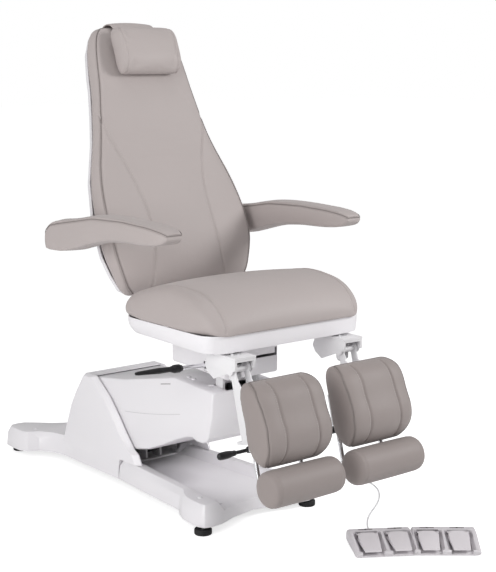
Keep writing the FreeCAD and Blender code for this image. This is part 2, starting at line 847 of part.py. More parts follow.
def carriage_cover():
    low_rear = carriage_low + carriage_cut
    shoulder = carriage_top - carriage_cut
    profile = [(carriage_front, carriage_low), (carriage_rear, low_rear), (carriage_rear, shoulder),
               (carriage_rear - carriage_cut, carriage_top), (carriage_front + carriage_cut, carriage_top),
               (carriage_front, shoulder)]
    outer = rounded_x(profile, -carriage_half, carriage_half, carriage_cut)
    inner = inset(profile, wall)
    inner[0] = (inner[0][0], carriage_low - over)
    inner[1] = (inner[1][0], carriage_low - over)
    inner_half = carriage_half - wall
    hollow = prism_x(inner, -inner_half, inner_half)
    ring = Part.makeCylinder(turntable_r + over, carriage_top, V(0, swivel_y, turntable_low))
    slot_z = (carriage_low + carriage_top) / 2
    slot = block(slot_x0, slot_x1, carriage_front - over, carriage_front + wall + over, slot_z,
                 slot_z + slot_h)
    slot_up = block(slot_x1 - slot_h, slot_x1, carriage_front - over, carriage_front + wall + over, slot_z,
                    slot_z + slot_h * 3)
    lever_gate = block(-carriage_half - over, -carriage_half + wall + over, lever_y - lever_r - over,
                       lever_y + lever_r + over, lever_z - lever_r * 3, lever_z + lever_r * 2)
    save("carriage_cover", cut(outer, [hollow, ring, slot, slot_up, lever_gate]))


def swivel_bearing():
    ring = Part.makeCylinder(turntable_r, bearing_h, V(0, swivel_y, turntable_low))
    spigot = Part.makeCylinder(spigot_r, bearing_h + spigot_h, V(0, swivel_y, turntable_low))
    save("swivel_bearing", fuse([ring, spigot]))


def swivel_lever():
    half_w = lever_hub_w / 2
    hub = rod(V(lever_pivot_x, lever_y - half_w, lever_z), V(lever_pivot_x, lever_y + half_w, lever_z),
              lever_hub_r)
    grip_share = (lever_pivot_x - lever_grip_x) / (lever_pivot_x - lever_tip_x)
    joint_end = V(lever_grip_x, lever_y, lever_z + lever_rise * grip_share)
    bar = rod(V(lever_pivot_x, lever_y, lever_z), joint_end, lever_r)
    hole = rod(V(lever_pivot_x, lever_y - lever_hub_w, lever_z),
               V(lever_pivot_x, lever_y + lever_hub_w, lever_z), lever_pin_r + run_fit)
    save("swivel_lever", fuse([hub, bar]).cut(hole))
    tip = V(lever_tip_x, lever_y, lever_z + lever_rise)
    save("swivel_lever_grip", handle(joint_end, tip, lever_grip_r))


# Radius of a lever grip along its length, as shares
grip_shares = [(0, 0.72), (0.06, 1), (0.16, 1), (0.26, 0.62), (0.5, 0.72), (0.94, 0.46), (1, 0.34)]


def handle(start, end, radius):
    """Turned grip, thick at its root and slim at its tip."""
    way = end.sub(start)
    length = way.Length
    way.normalize()
    cones = []
    for (a, ra), (b, rb) in zip(grip_shares, grip_shares[1:]):
        foot = start.add(V(way).multiply(a * length))
        if ra == rb:
            cones.append(Part.makeCylinder(radius * ra, (b - a) * length, foot, way))
        else:
            cones.append(Part.makeCone(radius * ra, radius * rb, (b - a) * length, foot, way))
    return fuse(cones)


# Seat: frame, moulded pan and cushion
def seat_frame():
    hub_low = turntable_low + bearing_h + gap
    bowl_floor = pan_low + wall
    hub = Part.makeCylinder(turntable_r - over, pan_low - hub_low, V(0, swivel_y, hub_low))
    column = Part.makeCylinder(column_r, bowl_floor - pan_low + gap, V(0, swivel_y, pan_low))
    socket = Part.makeCylinder(spigot_r + run_fit, spigot_h + gap, V(0, swivel_y, hub_low))
    plate_low = bowl_floor + gap
    pieces = [hub, column, block(-hinge_x - plate, hinge_x + plate, swivel_y - hub_plate,
                                 swivel_y + hub_plate, plate_low, plate_low + plate)]
    for side in (-1, 1):
        inner = side * (hinge_x - plate)
        outer = side * (hinge_x + plate)
        pieces.append(block(inner, outer, swivel_y - hub_plate, swivel_y + hub_plate, plate_low, beam_z))
        pieces.append(block(inner, outer, bolt_y + bolt_head_r, hinge_y - hub_r, beam_z, beam_z + tube_h))
        lug_in = side * (hinge_x - plate / 2)
        lug_out = side * (hinge_x + plate / 2)
        foot = hinge_y - hub_r * 2
        pieces.append(prism_x([(foot, beam_z), (hinge_y, beam_z), (hinge_y + hub_r - over, hinge_z),
                               (hinge_y - hub_r + over, hinge_z)], lug_in, lug_out))
        pieces.append(cross_bar(hinge_y, hinge_z, hub_r - over, lug_in, lug_out))
        bolt = side * bolt_x
        pieces.append(block(bolt - bracket_half, bolt + bracket_half, bracket_front,
                            bracket_front + bolt_plate_len, bolt_plate_z, bolt_plate_z + plate))
        for x in (bolt - bolt_head_r - bolt_r, bolt + bolt_head_r + bolt_r):
            pieces.append(Part.makeCylinder(bolt_r, beam_z - bolt_plate_z, V(x, beam_front_y, bolt_plate_z)))
    reach = bolt_x + bracket_half
    pieces.append(block(-reach, reach, beam_front_y - bolt_r, beam_front_y + bolt_r, beam_z, beam_z + tube_h))
    holes = [cross_bar(hinge_y, hinge_z, pin_r + run_fit, -hinge_x * 2, hinge_x * 2), socket]
    holes += [Part.makeCylinder(bolt_r + run_fit, plate * 3, V(side * bolt_x, bolt_y, bolt_plate_z - plate))
              for side in (-1, 1)]
    save("seat_frame", cut(fuse(pieces), holes))


def swivel_bolts():
    bolts = []
    for side in (-1, 1):
        low = bolt_plate_z - plate * 2
        shank = Part.makeCylinder(bolt_r, plate * 3, V(side * bolt_x, bolt_y, low))
        head = Part.makeCylinder(bolt_head_r, bolt_head_h, V(side * bolt_x, bolt_y, bolt_plate_z + plate))
        clip = Part.makeCylinder(bolt_r + over, over, V(side * bolt_x, bolt_y, low + over))
        bolts.append(fuse([shank, head, clip]))
    save("leg_swivel_bolts", group(bolts))


def round_plan(half, front, rear, corner):
    """Rounded rectangle in plan, each corner in short straight steps."""
    steps = 4
    points = []
    centres = ((-half + corner, front + corner), (half - corner, front + corner),
               (half - corner, rear - corner), (-half + corner, rear - corner))
    for quarter, (cx, cy) in enumerate(centres):
        for i in range(steps + 1):
            angle = math.pi * (1 + (quarter + i / steps) / 2)
            points.append((cx + corner * math.cos(angle), cy + corner * math.sin(angle)))
    return points


def seat_pan():
    bow_in = pan_corner / 2
    band = stack([(round_plan(seat_half, pan_front, pan_rear, pan_corner), pan_band),
                  (round_plan(seat_half, pan_front, pan_rear, pan_corner), pan_top)])
    top_plan = round_plan(seat_half - bow_in, bowl_front, pan_rear - bow_in / 2, pan_corner)
    low_plan = round_plan(seat_half - pan_corner, bowl_front + bow_in, pan_rear - bow_in, pan_corner)
    bowl = stack([(low_plan, pan_low), (top_plan, pan_band)])
    outer = fuse([band, bowl])
    band_in = stack([(round_plan(seat_half - wall, pan_front + wall, pan_rear - wall, pan_corner - wall),
                      pan_band + wall),
                     (round_plan(seat_half - wall, pan_front + wall, pan_rear - wall, pan_corner - wall),
                      pan_top + over)])
    bowl_in = stack([(inset(low_plan, wall), pan_low + wall), (inset(top_plan, wall), pan_band + wall)])
    column = Part.makeCylinder(column_r + gap, plate, V(0, swivel_y, pan_low - over))
    rear_gate = block(-rear_gate_x, rear_gate_x, pan_rear - pan_corner, pan_rear + over, beam_z - plate * 2,
                      pan_top - side_run / 3)
    boss_low = pan_band - over
    bosses = [Part.makeCylinder(bolt_r + gap, plate * 2, V(side * bolt_x + step, beam_front_y, boss_low))
              for side in (-1, 1) for step in (-bolt_head_r - bolt_r, bolt_head_r + bolt_r)]
    save("seat_pan", cut(outer, [band_in, bowl_in, column, rear_gate] + bosses))


# Shares for the upholstery: place along, half width, lowest, edge, crown, seam
seat_shares = [(0, 0.78, 0, 0.12, 0.24, 0.80), (0.05, 0.92, 0, 0.36, 0.56, 0.82),
               (0.15, 0.985, 0, 0.60, 0.86, 0.83), (0.31, 1, 0, 0.76, 1, 0.83),
               (0.55, 1, 0, 0.82, 0.98, 0.83), (0.80, 1, 0, 0.60, 0.80, 0.83),
               (0.95, 0.97, 0, 0.42, 0.56, 0.83), (1, 0.90, 0, 0.25, 0.34, 0.83)]


def seat_cushion():
    rows = scaled(seat_shares, pan_front - seat_lip, pan_rear - pan_front + seat_lip - gap, seat_half,
                  pan_top + gap, cushion_h)
    cushion = pad(lambda u, along, n: V(u, along, n), rows)
    save("seat_cushion", cushion)


# Recline actuator under the seat and the crank that it turns
def crank_pin():
    angle = math.radians(crank_deg)
    return hinge_y + crank_r * math.sin(angle), hinge_z - crank_r * math.cos(angle)


def back_ram():
    pin_y, pin_z = crank_pin()
    z = pin_z - crank_r * (1 - math.cos(math.radians(crank_deg))) / 2
    front = swivel_y - back_ram_len / 2
    rear = front + back_ram_len
    body = rod(V(0, front, z), V(0, rear, z), back_ram_r)
    plate_top = pan_low + wall + gap + plate
    saddles = [block(-back_ram_r, back_ram_r, y - plate, y + plate, plate_top, z)
               for y in (swivel_y - hub_plate / 2, swivel_y + hub_plate / 2)]
    bore = rod(V(0, front + back_ram_len * bore_share, z), V(0, rear + over, z), ram_rod_r + run_fit)
    save("back_actuator", fuse([body] + saddles).cut(bore))
    inner_end = rear - crank_r - ram_rod_r * 2
    bar = rod(V(0, inner_end, z), V(0, pin_y - back_eye_r / 2, z), ram_rod_r)
    tip_half = ram_rod_r * 0.8
    eye = cross_bar(pin_y, z, back_eye_r, -tip_half, tip_half)
    hole = cross_bar(pin_y, z, screw_r + back_eye_room, -crank_r, crank_r)
    save("back_actuator_rod", fuse([bar, eye]).cut(hole))


# Back: built upright over its hinge, then leaned back
def lean_back(shape):
    return turned(shape, -recline_deg, V(0, hinge_y, hinge_z))


def back_point(u, up, forward):
    return V(u, hinge_y - forward, hinge_z + up)


back_pad_shares = [(0.027, 0.76, 0, 0.18, 0.32, 0.75), (0.045, 0.86, 0, 0.42, 0.58, 0.68),
                   (0.1, 0.935, 0, 0.646, 0.84, 0.52), (0.17, 0.995, 0, 0.79, 0.985, 0.46),
                   (0.30, 1, 0, 0.77, 0.965, 0.44), (0.431, 0.935, 0, 0.60, 0.80, 0.56),
                   (0.571, 0.79, 0, 0.512, 0.71, 0.84), (0.664, 0.72, 0, 0.549, 0.74, 0.88),
                   (0.76, 0.66, 0, 0.61, 0.79, 0.88), (0.822, 0.635, 0, 0.62, 0.79, 0.88),
                   (0.903, 0.585, 0, 0.60, 0.76, 0.88), (0.962, 0.495, 0, 0.49, 0.60, 0.88),
                   (0.985, 0.38, 0, 0.32, 0.42, 0.88)]
# Outline of the back as (half width, height) shares, from the bottom to the top
back_outline_shares = [(row[1], row[0]) for row in back_pad_shares]


def back_cushion():
    rows = scaled(back_pad_shares, 0, back_len, back_half, back_board - over, back_depth)
    body = pad(back_point, rows)
    board = block(-seat_half, seat_half, hinge_y - back_board - gap, hinge_y + back_len, hinge_z,
                  hinge_z + back_len)
    save("back_cushion", lean_back(body.cut(board)))


def back_ring(step, forward):
    """Outline of the back drawn in by step, at one depth."""
    half = [(-sx * back_half, sy * back_len) for sx, sy in back_outline_shares]
    outline = inset(both_sides(half), step)
    return wire([back_point(x, up, forward) for x, up in outline])


def back_shell():
    depth = back_board - shell_depth
    mid = back_board - shell_depth * 0.45
    outer = Part.makeLoft([back_ring(0, back_board), back_ring(shell_in, mid),
                           back_ring(shell_deep_in, depth)], True, True)
    inner = Part.makeLoft([back_ring(wall, back_board + over), back_ring(shell_in + wall, mid),
                           back_ring(shell_deep_in + wall, depth + wall)], True, True)
    ports = [cross_bar(hinge_y - arm_shaft_n, hinge_z + arm_shaft_t, arm_shaft_r + over, side * hinge_x,
                       side * arm_x) for side in (-1, 1)]
    gate = block(-back_gate_x, back_gate_x, hinge_y - back_board - over, hinge_y - depth + wall + over,
                 hinge_z, hinge_z + hinge_x)
    save("back_shell", lean_back(cut(outer, [inner, gate] + ports)))


def back_frame():
    front = back_board
    rear = front - plate * 2
    bar_in = hinge_x - plate - tube_h
    bar_out = hinge_x - plate
    pieces = []
    for side in (-1, 1):
        pieces.append(block(side * bar_in, side * bar_out, hinge_y - front, hinge_y - rear,
                            hinge_z + hub_r, hinge_z + back_len * frame_top_share))
        root = hinge_tube_r * 0.7
        pieces.append(prism_x([(hinge_y - root, hinge_z), (hinge_y + root, hinge_z),
                               (hinge_y - rear, hinge_z + hub_r), (hinge_y - front, hinge_z + hub_r)],
                              side * bar_in, side * bar_out))
    for share in (frame_low_share, frame_top_share):
        up = hinge_z + back_len * share
        pieces.append(block(-bar_out, bar_out, hinge_y - front, hinge_y - rear, up - tube_w / 2,
                            up + tube_w / 2))
    seat_gap = hinge_x - plate / 2 - gap
    pieces.append(cross_bar(hinge_y, hinge_z, hinge_tube_r, -seat_gap, seat_gap))
    shaft_y = hinge_y - arm_shaft_n
    shaft_z = hinge_z + arm_shaft_t
    for side in (-1, 1):
        pieces.append(cross_bar(shaft_y, shaft_z, arm_shaft_r + wall, side * bar_in, side * socket_x))
    frame = lean_back(fuse(pieces))
    pin_y, pin_z = crank_pin()
    cheeks = []
    for side in (-1, 1):
        inner = side * (ram_rod_r + over)
        outer = side * (ram_rod_r + over + plate)
        cheeks.append(bar_between((hinge_y, hinge_z), (pin_y, pin_z), screw_r * 3, inner, outer))
        cheeks.append(cross_bar(pin_y, pin_z, screw_r * 1.5, inner, outer))
    reach = ram_rod_r + over + plate
    cheeks.append(cross_bar(pin_y, pin_z, screw_r, -reach, reach))
    hinge_hole = cross_bar(hinge_y, hinge_z, pin_r + run_fit, -seat_half, seat_half)
    sockets = [lean_back(cross_bar(shaft_y, shaft_z, arm_shaft_r + run_fit, side * (bar_in - over),
                                   side * (socket_x + over))) for side in (-1, 1)]
    save("back_frame", cut(fuse([frame] + cheeks), [hinge_hole] + sockets))
    span = hinge_x + plate
    save("back_hinge_pin", cross_bar(hinge_y, hinge_z, pin_r, -span, span))


# Headrest: a pillow held by a strap that goes over the top to a counterweight behind
pillow_shares = [(0, 0.90, 0.14, 0.40, 0.58, 0.7), (0.12, 0.98, 0, 0.72, 0.88, 0.7),
                 (0.35, 1, 0, 0.82, 0.99, 0.7), (0.65, 1, 0, 0.82, 0.99, 0.7),
                 (0.88, 0.98, 0, 0.72, 0.88, 0.7), (1, 0.90, 0.14, 0.40, 0.58, 0.7)]


def headrest():
    strap_n = back_board + back_depth * strap_share + gap
    pillow_base = strap_n + strap_t + gap
    rows = scaled(pillow_shares, pillow_low, pillow_h, pillow_half, pillow_base - over, pillow_t)
    behind = block(-seat_half, seat_half, hinge_y - pillow_base, hinge_y + back_len, hinge_z,
                   hinge_z + back_len * 2)
    save("headrest_pillow", lean_back(pad(back_point, rows).cut(behind)))
    rear_n = back_board - shell_depth - gap
    top = back_len + strap_t / 2
    fold = shell_depth / 2
    inner = [(pillow_low + strap_t, strap_n), (back_len * 0.935, strap_n), (top, strap_n - fold),
             (top, back_board), (back_len * 0.955, rear_n), (weight_low, rear_n)]
    grow = [(0, strap_t), (0, strap_t), (strap_t, strap_t / 2), (strap_t, -strap_t / 2),
            (strap_t / 2, -strap_t), (0, -strap_t)]
    outer = [(up + du, n + dn) for (up, n), (du, dn) in zip(inner, grow)]
    side = [(hinge_y - n, hinge_z + up) for up, n in inner + list(reversed(outer))]
    band = prism_x(side, -strap_half, strap_half)
    save("headrest_strap", lean_back(band))
    weight_n = rear_n - strap_t - gap
    outline = [(weight_low, weight_n), (weight_low + weight_h, weight_n),
               (weight_low + weight_h - weight_t / 4, weight_n - weight_t),
               (weight_low + weight_t / 4, weight_n - weight_t)]
    side = [(hinge_y - n, hinge_z + up) for up, n in outline]
    body = rounded_x(side, -strap_half, strap_half, weight_t / 4)
    save("headrest_counterweight", lean_back(body))


# Armrests: upholstered blocks on shafts that turn in the back frame
armrest_shares = [(0, 0.66, 0.70, 0.78, 0.82, 0.6), (0.025, 0.86, 0.61, 0.83, 0.89, 0.6),
                  (0.07, 0.97, 0.55, 0.87, 0.94, 0.6), (0.14, 1, 0.52, 0.90, 0.97, 0.6),
                  (0.32, 1, 0.50, 0.93, 1, 0.6), (0.56, 1, 0.35, 0.89, 0.96, 0.6),
                  (0.80, 1, 0.06, 0.70, 0.77, 0.6), (0.93, 1, 0.01, 0.58, 0.66, 0.6),
                  (0.98, 0.90, 0.03, 0.42, 0.50, 0.6), (1, 0.60, 0.12, 0.26, 0.31, 0.6)]


def armrests():
    rows = scaled(armrest_shares, armrest_front, armrest_len, armrest_w / 2, armrest_low, armrest_h)
    shaft = lean_back(cross_bar(hinge_y - arm_shaft_n, hinge_z + arm_shaft_t, arm_shaft_r, hinge_x,
                                arm_x - armrest_w / 2 - gap * 2))
    centre = shaft.BoundBox.Center
    inner = arm_x - armrest_w / 2
    disc = cross_bar(centre.y, centre.z, arm_disc_r, inner - plate, inner - gap * 2)
    for side, label in ((1, "left"), (-1, "right")):
        cushion = pad(lambda u, along, n: V(side * arm_x + u, along, n), rows)
        save("armrest_" + label, cushion)
        bracket = fuse([shaft, disc])
        save("armrest_bracket_" + label, bracket if side > 0 else mirror(bracket))


# Leg rests: built hanging straight down from the knee reference, then leaned forward
def leg_point(u, down, forward):
    return V(u, knee_ref_y - forward, knee_ref_z - down)


def lean_leg(shape, side):
    out = turned(shape, -lean_deg, V(0, knee_ref_y, knee_ref_z))
    return moved(out, side * knee_x, 0, 0)


def leg_box(u0, u1, v0, v1, n0, n1):
    return block(u0, u1, knee_ref_y - n0, knee_ref_y - n1, knee_ref_z - v0, knee_ref_z - v1)


def leg_bar(v, n, radius, u0, u1):
    return cross_bar(knee_ref_y - n, knee_ref_z - v, radius, u0, u1)


def knee_centre():
    spot = turned(Part.Vertex(V(0, knee_ref_y, knee_ref_z - knee_v)), -lean_deg, V(0, knee_ref_y, knee_ref_z))
    return spot.Point


# Side profile of the knee bracket, (y, z) shares of its length and height from the top rear
bracket_shares = [(0.08, 0), (0.99, 0), (0.99, 0.41), (0.28, 1), (0.065, 0.73), (-0.01, 0.47)]


def knee_bracket(side, label):
    top = bolt_plate_z - gap
    rear = bracket_front + bracket_len
    profile = [(rear - sy * bracket_len, top - sz * bracket_h) for sy, sz in bracket_shares]
    knee = knee_centre()
    pieces = [block(-bracket_half, bracket_half, profile[1][0], profile[0][0], top - plate, top)]
    for way in (-1, 1):
        inner = way * (bracket_half - wall)
        outer = way * bracket_half
        pieces.append(prism_x(profile, inner, outer))
        pieces.append(cross_bar(knee.y, knee.z, link_hub_r, inner, outer))
        lug_in = way * (spring_r + over)
        lug_out = way * (spring_r + over + wall)
        pin_y = knee.y + spring_pin_dy
        pin_z = knee.z + spring_pin_dz
        pieces.append(block(lug_in, lug_out, pin_y - screw_r * 1.5, pin_y + screw_r * 1.5, pin_z - screw_r,
                            top - plate / 2))
        pieces.append(cross_bar(pin_y, pin_z, screw_r * 1.5, lug_in, lug_out))
    pieces.append(cross_bar(knee.y, knee.z, pin_r, -bracket_half, bracket_half))
    lug_span = spring_r + over + wall
    pieces.append(cross_bar(pin_y, pin_z, spring_pin_r, -lug_span, lug_span))
    bracket = moved(fuse(pieces), side * knee_x, 0, 0)
    hole = Part.makeCylinder(bolt_r + run_fit, plate * 3, V(side * bolt_x, bolt_y, top - plate * 2))
    save("knee_bracket_" + label, bracket.cut(hole))


def leg_frame(side, label):
    pieces = []
    cheek = [(knee_v - pin_r * 2, pin_r), (knee_v + pin_r * 4, pin_r * 1.7), (pad_top + tube_h, fork_deep),
             (pad_top + tube_w, pad_back - plate), (fork_low, pad_back - plate), (fork_low, -fork_back),
             (knee_v, -fork_back)]
    for way in (-1, 1):
        inner = way * (fork_half - fork_t)
        outer = way * fork_half
        pieces.append(prism_x([(knee_ref_y - n, knee_ref_z - v) for v, n in cheek], inner, outer))
        pieces.append(leg_bar(knee_v, 0, pin_r * 2, inner, outer))
    pad_u = -side * pad_in
    board_half = rod_x + rod_r * 3
    pieces.append(leg_box(pad_u - board_half, pad_u + board_half, pad_top + pad_gap,
                          pad_top + pad_len - pad_gap, pad_back - plate, pad_back - gap))
    bridge = fork_low - plate * 1.5
    pieces.append(leg_box(-fork_half + fork_t, fork_half - fork_t, bridge, fork_low,
                          -spring_n - spring_r, fork_deep))
    sleeve_r = rod_r * 1.5
    for u in (pad_u - rod_x, pad_u + rod_x):
        pieces.append(leg_box(u - sleeve_r, u + sleeve_r, sleeve_top, sleeve_top + sleeve_len,
                              rod_n - sleeve_r, pad_back - plate))
    lug = leg_box(-screw_r, screw_r, bridge, release_v + screw_r, release_n + release_hub_w / 2 + gap,
                  release_n + release_hub_w / 2 + gap + plate)
    pin = rod(leg_point(0, release_v, release_n - release_hub_w / 2),
              leg_point(0, release_v, release_n + release_hub_w / 2 + plate), spring_rod_r)
    pieces += [lug, pin]
    holes = [leg_bar(knee_v, 0, pin_r + run_fit, -fork_half * 2, fork_half * 2)]
    holes += [rod(leg_point(u, 0, rod_n), leg_point(u, fork_low, rod_n), rod_r + run_fit)
              for u in (pad_u - rod_x, pad_u + rod_x)]
    holes.append(rod(leg_point(0, pad_top, -spring_n), leg_point(0, fork_low - plate * 0.5, -spring_n),
                     spring_r + run_fit))
    save("leg_frame_" + label, lean_leg(cut(fuse(pieces), holes), side))


def gas_spring(side, label):
    body = rod(leg_point(0, spring_top, -spring_n), leg_point(0, fork_low - plate * 0.5, -spring_n), spring_r)
    bore = rod(leg_point(0, spring_top - over, -spring_n), leg_point(0, fork_low - plate * 1.5, -spring_n),
               spring_rod_r + run_fit)
    save("gas_spring_" + label, lean_leg(body.cut(bore), side))
    pin_v = knee_v + spring_stroke / 2
    eye = leg_bar(pin_v, -spring_n, spring_eye_r, -spring_r, spring_r)
    hole = leg_bar(pin_v, -spring_n, spring_pin_r + spring_room, -spring_r * 2, spring_r * 2)
    bar = rod(leg_point(0, pin_v + spring_eye_r * 0.85, -spring_n),
              leg_point(0, spring_top + spring_stroke * 2, -spring_n), spring_rod_r)
    save("gas_spring_rod_" + label, lean_leg(fuse([eye.cut(hole), bar]), side))


calf_shares = [(0, 0.82, 0.14, 0.24, 0.36, 0.56), (0.05, 0.93, 0.01, 0.50, 0.64, 0.53),
               (0.11, 0.98, 0, 0.63, 0.77, 0.51), (0.34, 1, 0, 0.79, 0.91, 0.51),
               (0.57, 1, 0, 0.87, 1, 0.51), (0.77, 1, 0.03, 0.83, 0.98, 0.51),
               (0.86, 0.97, 0.08, 0.73, 0.88, 0.51), (0.95, 0.90, 0.18, 0.54, 0.68, 0.51),
               (1, 0.78, 0.30, 0.38, 0.42, 0.51)]


def calf_cushion(side, label):
    pad_u = -side * pad_in
    rows = scaled(calf_shares, pad_top, pad_len, pad_half, pad_back - over, pad_depth)
    body = pad(lambda u, v, n: leg_point(pad_u + u, v, n), rows)
    board = leg_box(-seat_half, seat_half, 0, pad_top + pad_len * 2, 0, pad_back)
    save("calf_cushion_" + label, lean_leg(body.cut(board), side))


# Foot roll: half length and radius shares from one end to the other
roll_shares = [(-1, 0.74), (-0.93, 0.92), (-0.8, 1), (0, 1.03), (0.8, 1), (0.93, 0.92), (1, 0.74)]


def foot_roll(side, label):
    pad_u = -side * pad_in
    wires = []
    for a, share in roll_shares:
        u = pad_u + a * roll_half
        radius = roll_r * share
        corner = radius * math.sqrt(0.5)
        ring = [leg_point(u, roll_v + dv * radius, roll_n + dn * radius)
                for dv, dn in ((-1, 0), (0, 1), (1, 0), (0, -1))]
        mids = [leg_point(u, roll_v + dv * corner, roll_n + dn * corner)
                for dv, dn in ((-1, 1), (1, 1), (1, -1), (-1, -1))]
        wires.append(Part.Wire([arc(ring[i], mids[i], ring[(i + 1) % 4]) for i in range(4)]))
    roll = smooth(wires)
    rods = []
    pockets = []
    end_n = roll_n - roll_r * 0.6
    for u in (pad_u - rod_x, pad_u + rod_x):
        body, path, radii = tube([leg_point(u, rod_top, rod_n), leg_point(u, roll_v, rod_n),
                                  leg_point(u, roll_v, end_n)], rod_r, bend_share)
        rods.append(body)
        pockets.append(rod(leg_point(u, roll_v, rod_n), leg_point(u, roll_v, end_n + gap), rod_r + gap))
    save("foot_roll_" + label, lean_leg(cut(roll, pockets), side))
    save("roll_rods_" + label, lean_leg(group(rods), side))


def release_lever(side, label):
    """Release lever of a leg rest: both point to -X."""
    hub = rod(leg_point(0, release_v, release_n - release_hub_w / 2),
              leg_point(0, release_v, release_n + release_hub_w / 2), release_hub_r)
    grip_start = leg_point(-release_reach, release_v, release_n)
    bar = rod(leg_point(0, release_v, release_n), grip_start, release_r)
    hole = rod(leg_point(0, release_v, release_n - release_hub_w),
               leg_point(0, release_v, release_n + release_hub_w), spring_rod_r + run_fit)
    tip = leg_point(-release_reach - release_grip_len, release_v, release_n)
    grip = handle(grip_start, tip, release_grip_r)
    save("release_lever_" + label, lean_leg(group([fuse([hub, bar]).cut(hole), grip]), side))


# Foot control: two halves at a slight angle, four pedals hinged at the back
def placed(shape, half_side):
    """Put a piece built over the control's own centre line in its place on the floor."""
    out = shape.copy()
    out.rotate(V(0, 0, 0), V(0, 0, 1), control_turn - half_side * half_turn)
    return moved(out, control_x, control_y, 0)


# Side profile of the foot control, (y, z) shares of half its depth and its height
control_shares = [(1, 0), (1, 0.80), (0.88, 1), (0.45, 1), (-0.92, 0.36), (-1, 0.24), (-1, 0)]
pedal_hinge_share = 0.40
pedal_hinge_rise_share = 0.74
pedal_shares = [(0.52, 0.88), (0.42, 0.99), (-0.90, 0.56), (-0.93, 0.44), (0.30, 0.50), (0.52, 0.70)]


def control_side(shares):
    rise = control_h - control_foot_h
    return [(sy * control_depth / 2, control_foot_h + sz * rise) for sy, sz in shares]


def pedal_places():
    return [(-1, -pedal_pitch * 1.5), (-1, -pedal_pitch / 2), (1, pedal_pitch / 2), (1, pedal_pitch * 1.5)]


def foot_control():
    profile = control_side(control_shares)
    halves = []
    for half_side in (-1, 1):
        if half_side > 0:
            body = rounded_x(profile, -over, control_half, control_lip / 2)
        else:
            body = rounded_x(profile, -control_half, over, control_lip / 2)
        cutters = []
        for own_side, x in pedal_places():
            if own_side == half_side:
                room = pedal_w / 2 + side_run / 2
                cutters.append(block(x - room, x + room, -control_depth, control_depth * 0.28,
                                     control_foot_h + side_run, control_h + over))
        halves.append(placed(cut(body, cutters), half_side))
    start = cord_points()[0]
    outward = cord_points()[1].sub(start).normalize()
    boss = rod(start.sub(V(outward).multiply(control_lip * 1.5)), start, cord_r * 2)
    save("foot_control_base", fuse(halves + [boss]))
    feet = []
    for half_side in (-1, 1):
        for y in (-control_depth * 0.36, control_depth * 0.36):
            for x in (half_side * control_half * 0.12, half_side * control_half * 0.90):
                foot = Part.makeCylinder(control_lip * 0.7, control_foot_h, V(x, y, 0))
                feet.append(placed(foot, half_side))
    save("foot_control_feet", group(feet))
    hinge_y2 = control_depth / 2 * pedal_hinge_share
    hinge_z2 = control_foot_h + (control_h - control_foot_h) * pedal_hinge_rise_share
    pins = []
    for number, (half_side, x) in enumerate(pedal_places(), 1):
        reach = pedal_w / 2 + side_run / 2
        pins.append(placed(cross_bar(hinge_y2, hinge_z2, pedal_pin_r, x - reach, x + reach), half_side))
        wedge = prism_x(control_side(pedal_shares), x - pedal_w / 2, x + pedal_w / 2)
        hole = cross_bar(hinge_y2, hinge_z2, pedal_pin_r + run_fit, x - pedal_w, x + pedal_w)
        save("pedal_" + str(number), placed(wedge.cut(hole), half_side))
    save("pedal_pins", group(pins))


def cord_points():
    return [V(x, y, z) for x, y, z in cord_places]


def control_cord():
    points = cord_points()
    body, path, radii = tube(points, cord_r, cord_share)
    save("foot_control_cord", body)
    print("cord length", round(path.Length, 1), "least radius", round(min(radii), 1))
    section = math.pi * cord_r ** 2
    print("cord volume", round(body.Volume), "section times length", round(section * path.Length))


levelling_feet()
base_frame()
base_front()
base_rear()
tower_bracket()
control_box()
mains_inlet()
lift_arm_frame()
lift_arm_cover()
lower_link()
lift_ram()
carriage_frame()
carriage_cover()
swivel_bearing()
swivel_lever()
seat_frame()
swivel_bolts()
seat_pan()
seat_cushion()
back_ram()
back_cushion()
back_shell()
back_frame()
headrest()
armrests()
for leg_side, leg_label in ((1, "left"), (-1, "right")):
    knee_bracket(leg_side, leg_label)
    leg_frame(leg_side, leg_label)
    gas_spring(leg_side, leg_label)
    calf_cushion(leg_side, leg_label)
    foot_roll(leg_side, leg_label)
    release_lever(leg_side, leg_label)
foot_control()
control_cord()
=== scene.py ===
import math

import bpy
import numpy as np
from bpy.props import FloatProperty, FloatVectorProperty, PointerProperty
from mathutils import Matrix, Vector
from mathutils.bvhtree import BVHTree


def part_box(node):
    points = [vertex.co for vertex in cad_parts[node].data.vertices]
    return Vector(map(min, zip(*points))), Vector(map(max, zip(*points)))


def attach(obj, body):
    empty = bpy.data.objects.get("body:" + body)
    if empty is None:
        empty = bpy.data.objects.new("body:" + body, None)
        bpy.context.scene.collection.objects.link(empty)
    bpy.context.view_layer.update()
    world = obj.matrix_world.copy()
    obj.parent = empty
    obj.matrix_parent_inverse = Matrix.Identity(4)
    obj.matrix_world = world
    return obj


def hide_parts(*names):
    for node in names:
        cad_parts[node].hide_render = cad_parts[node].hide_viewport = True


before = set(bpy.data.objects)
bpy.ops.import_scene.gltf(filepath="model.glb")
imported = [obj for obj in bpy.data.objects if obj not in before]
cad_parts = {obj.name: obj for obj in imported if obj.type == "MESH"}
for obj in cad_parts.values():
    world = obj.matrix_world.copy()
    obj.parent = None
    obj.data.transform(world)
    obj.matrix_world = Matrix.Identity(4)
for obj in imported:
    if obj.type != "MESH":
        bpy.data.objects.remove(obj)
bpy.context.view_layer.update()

bl_info = {
    "name": "Podiatry chair",
    "version": (1, 0, 0),
    "blender": (4, 5, 0),
    "location": "3D View > Sidebar > Chair",
    "description": "Looks of a podiatry chair on a lifting arm, built round its CAD frame",
    "category": "Object",
}

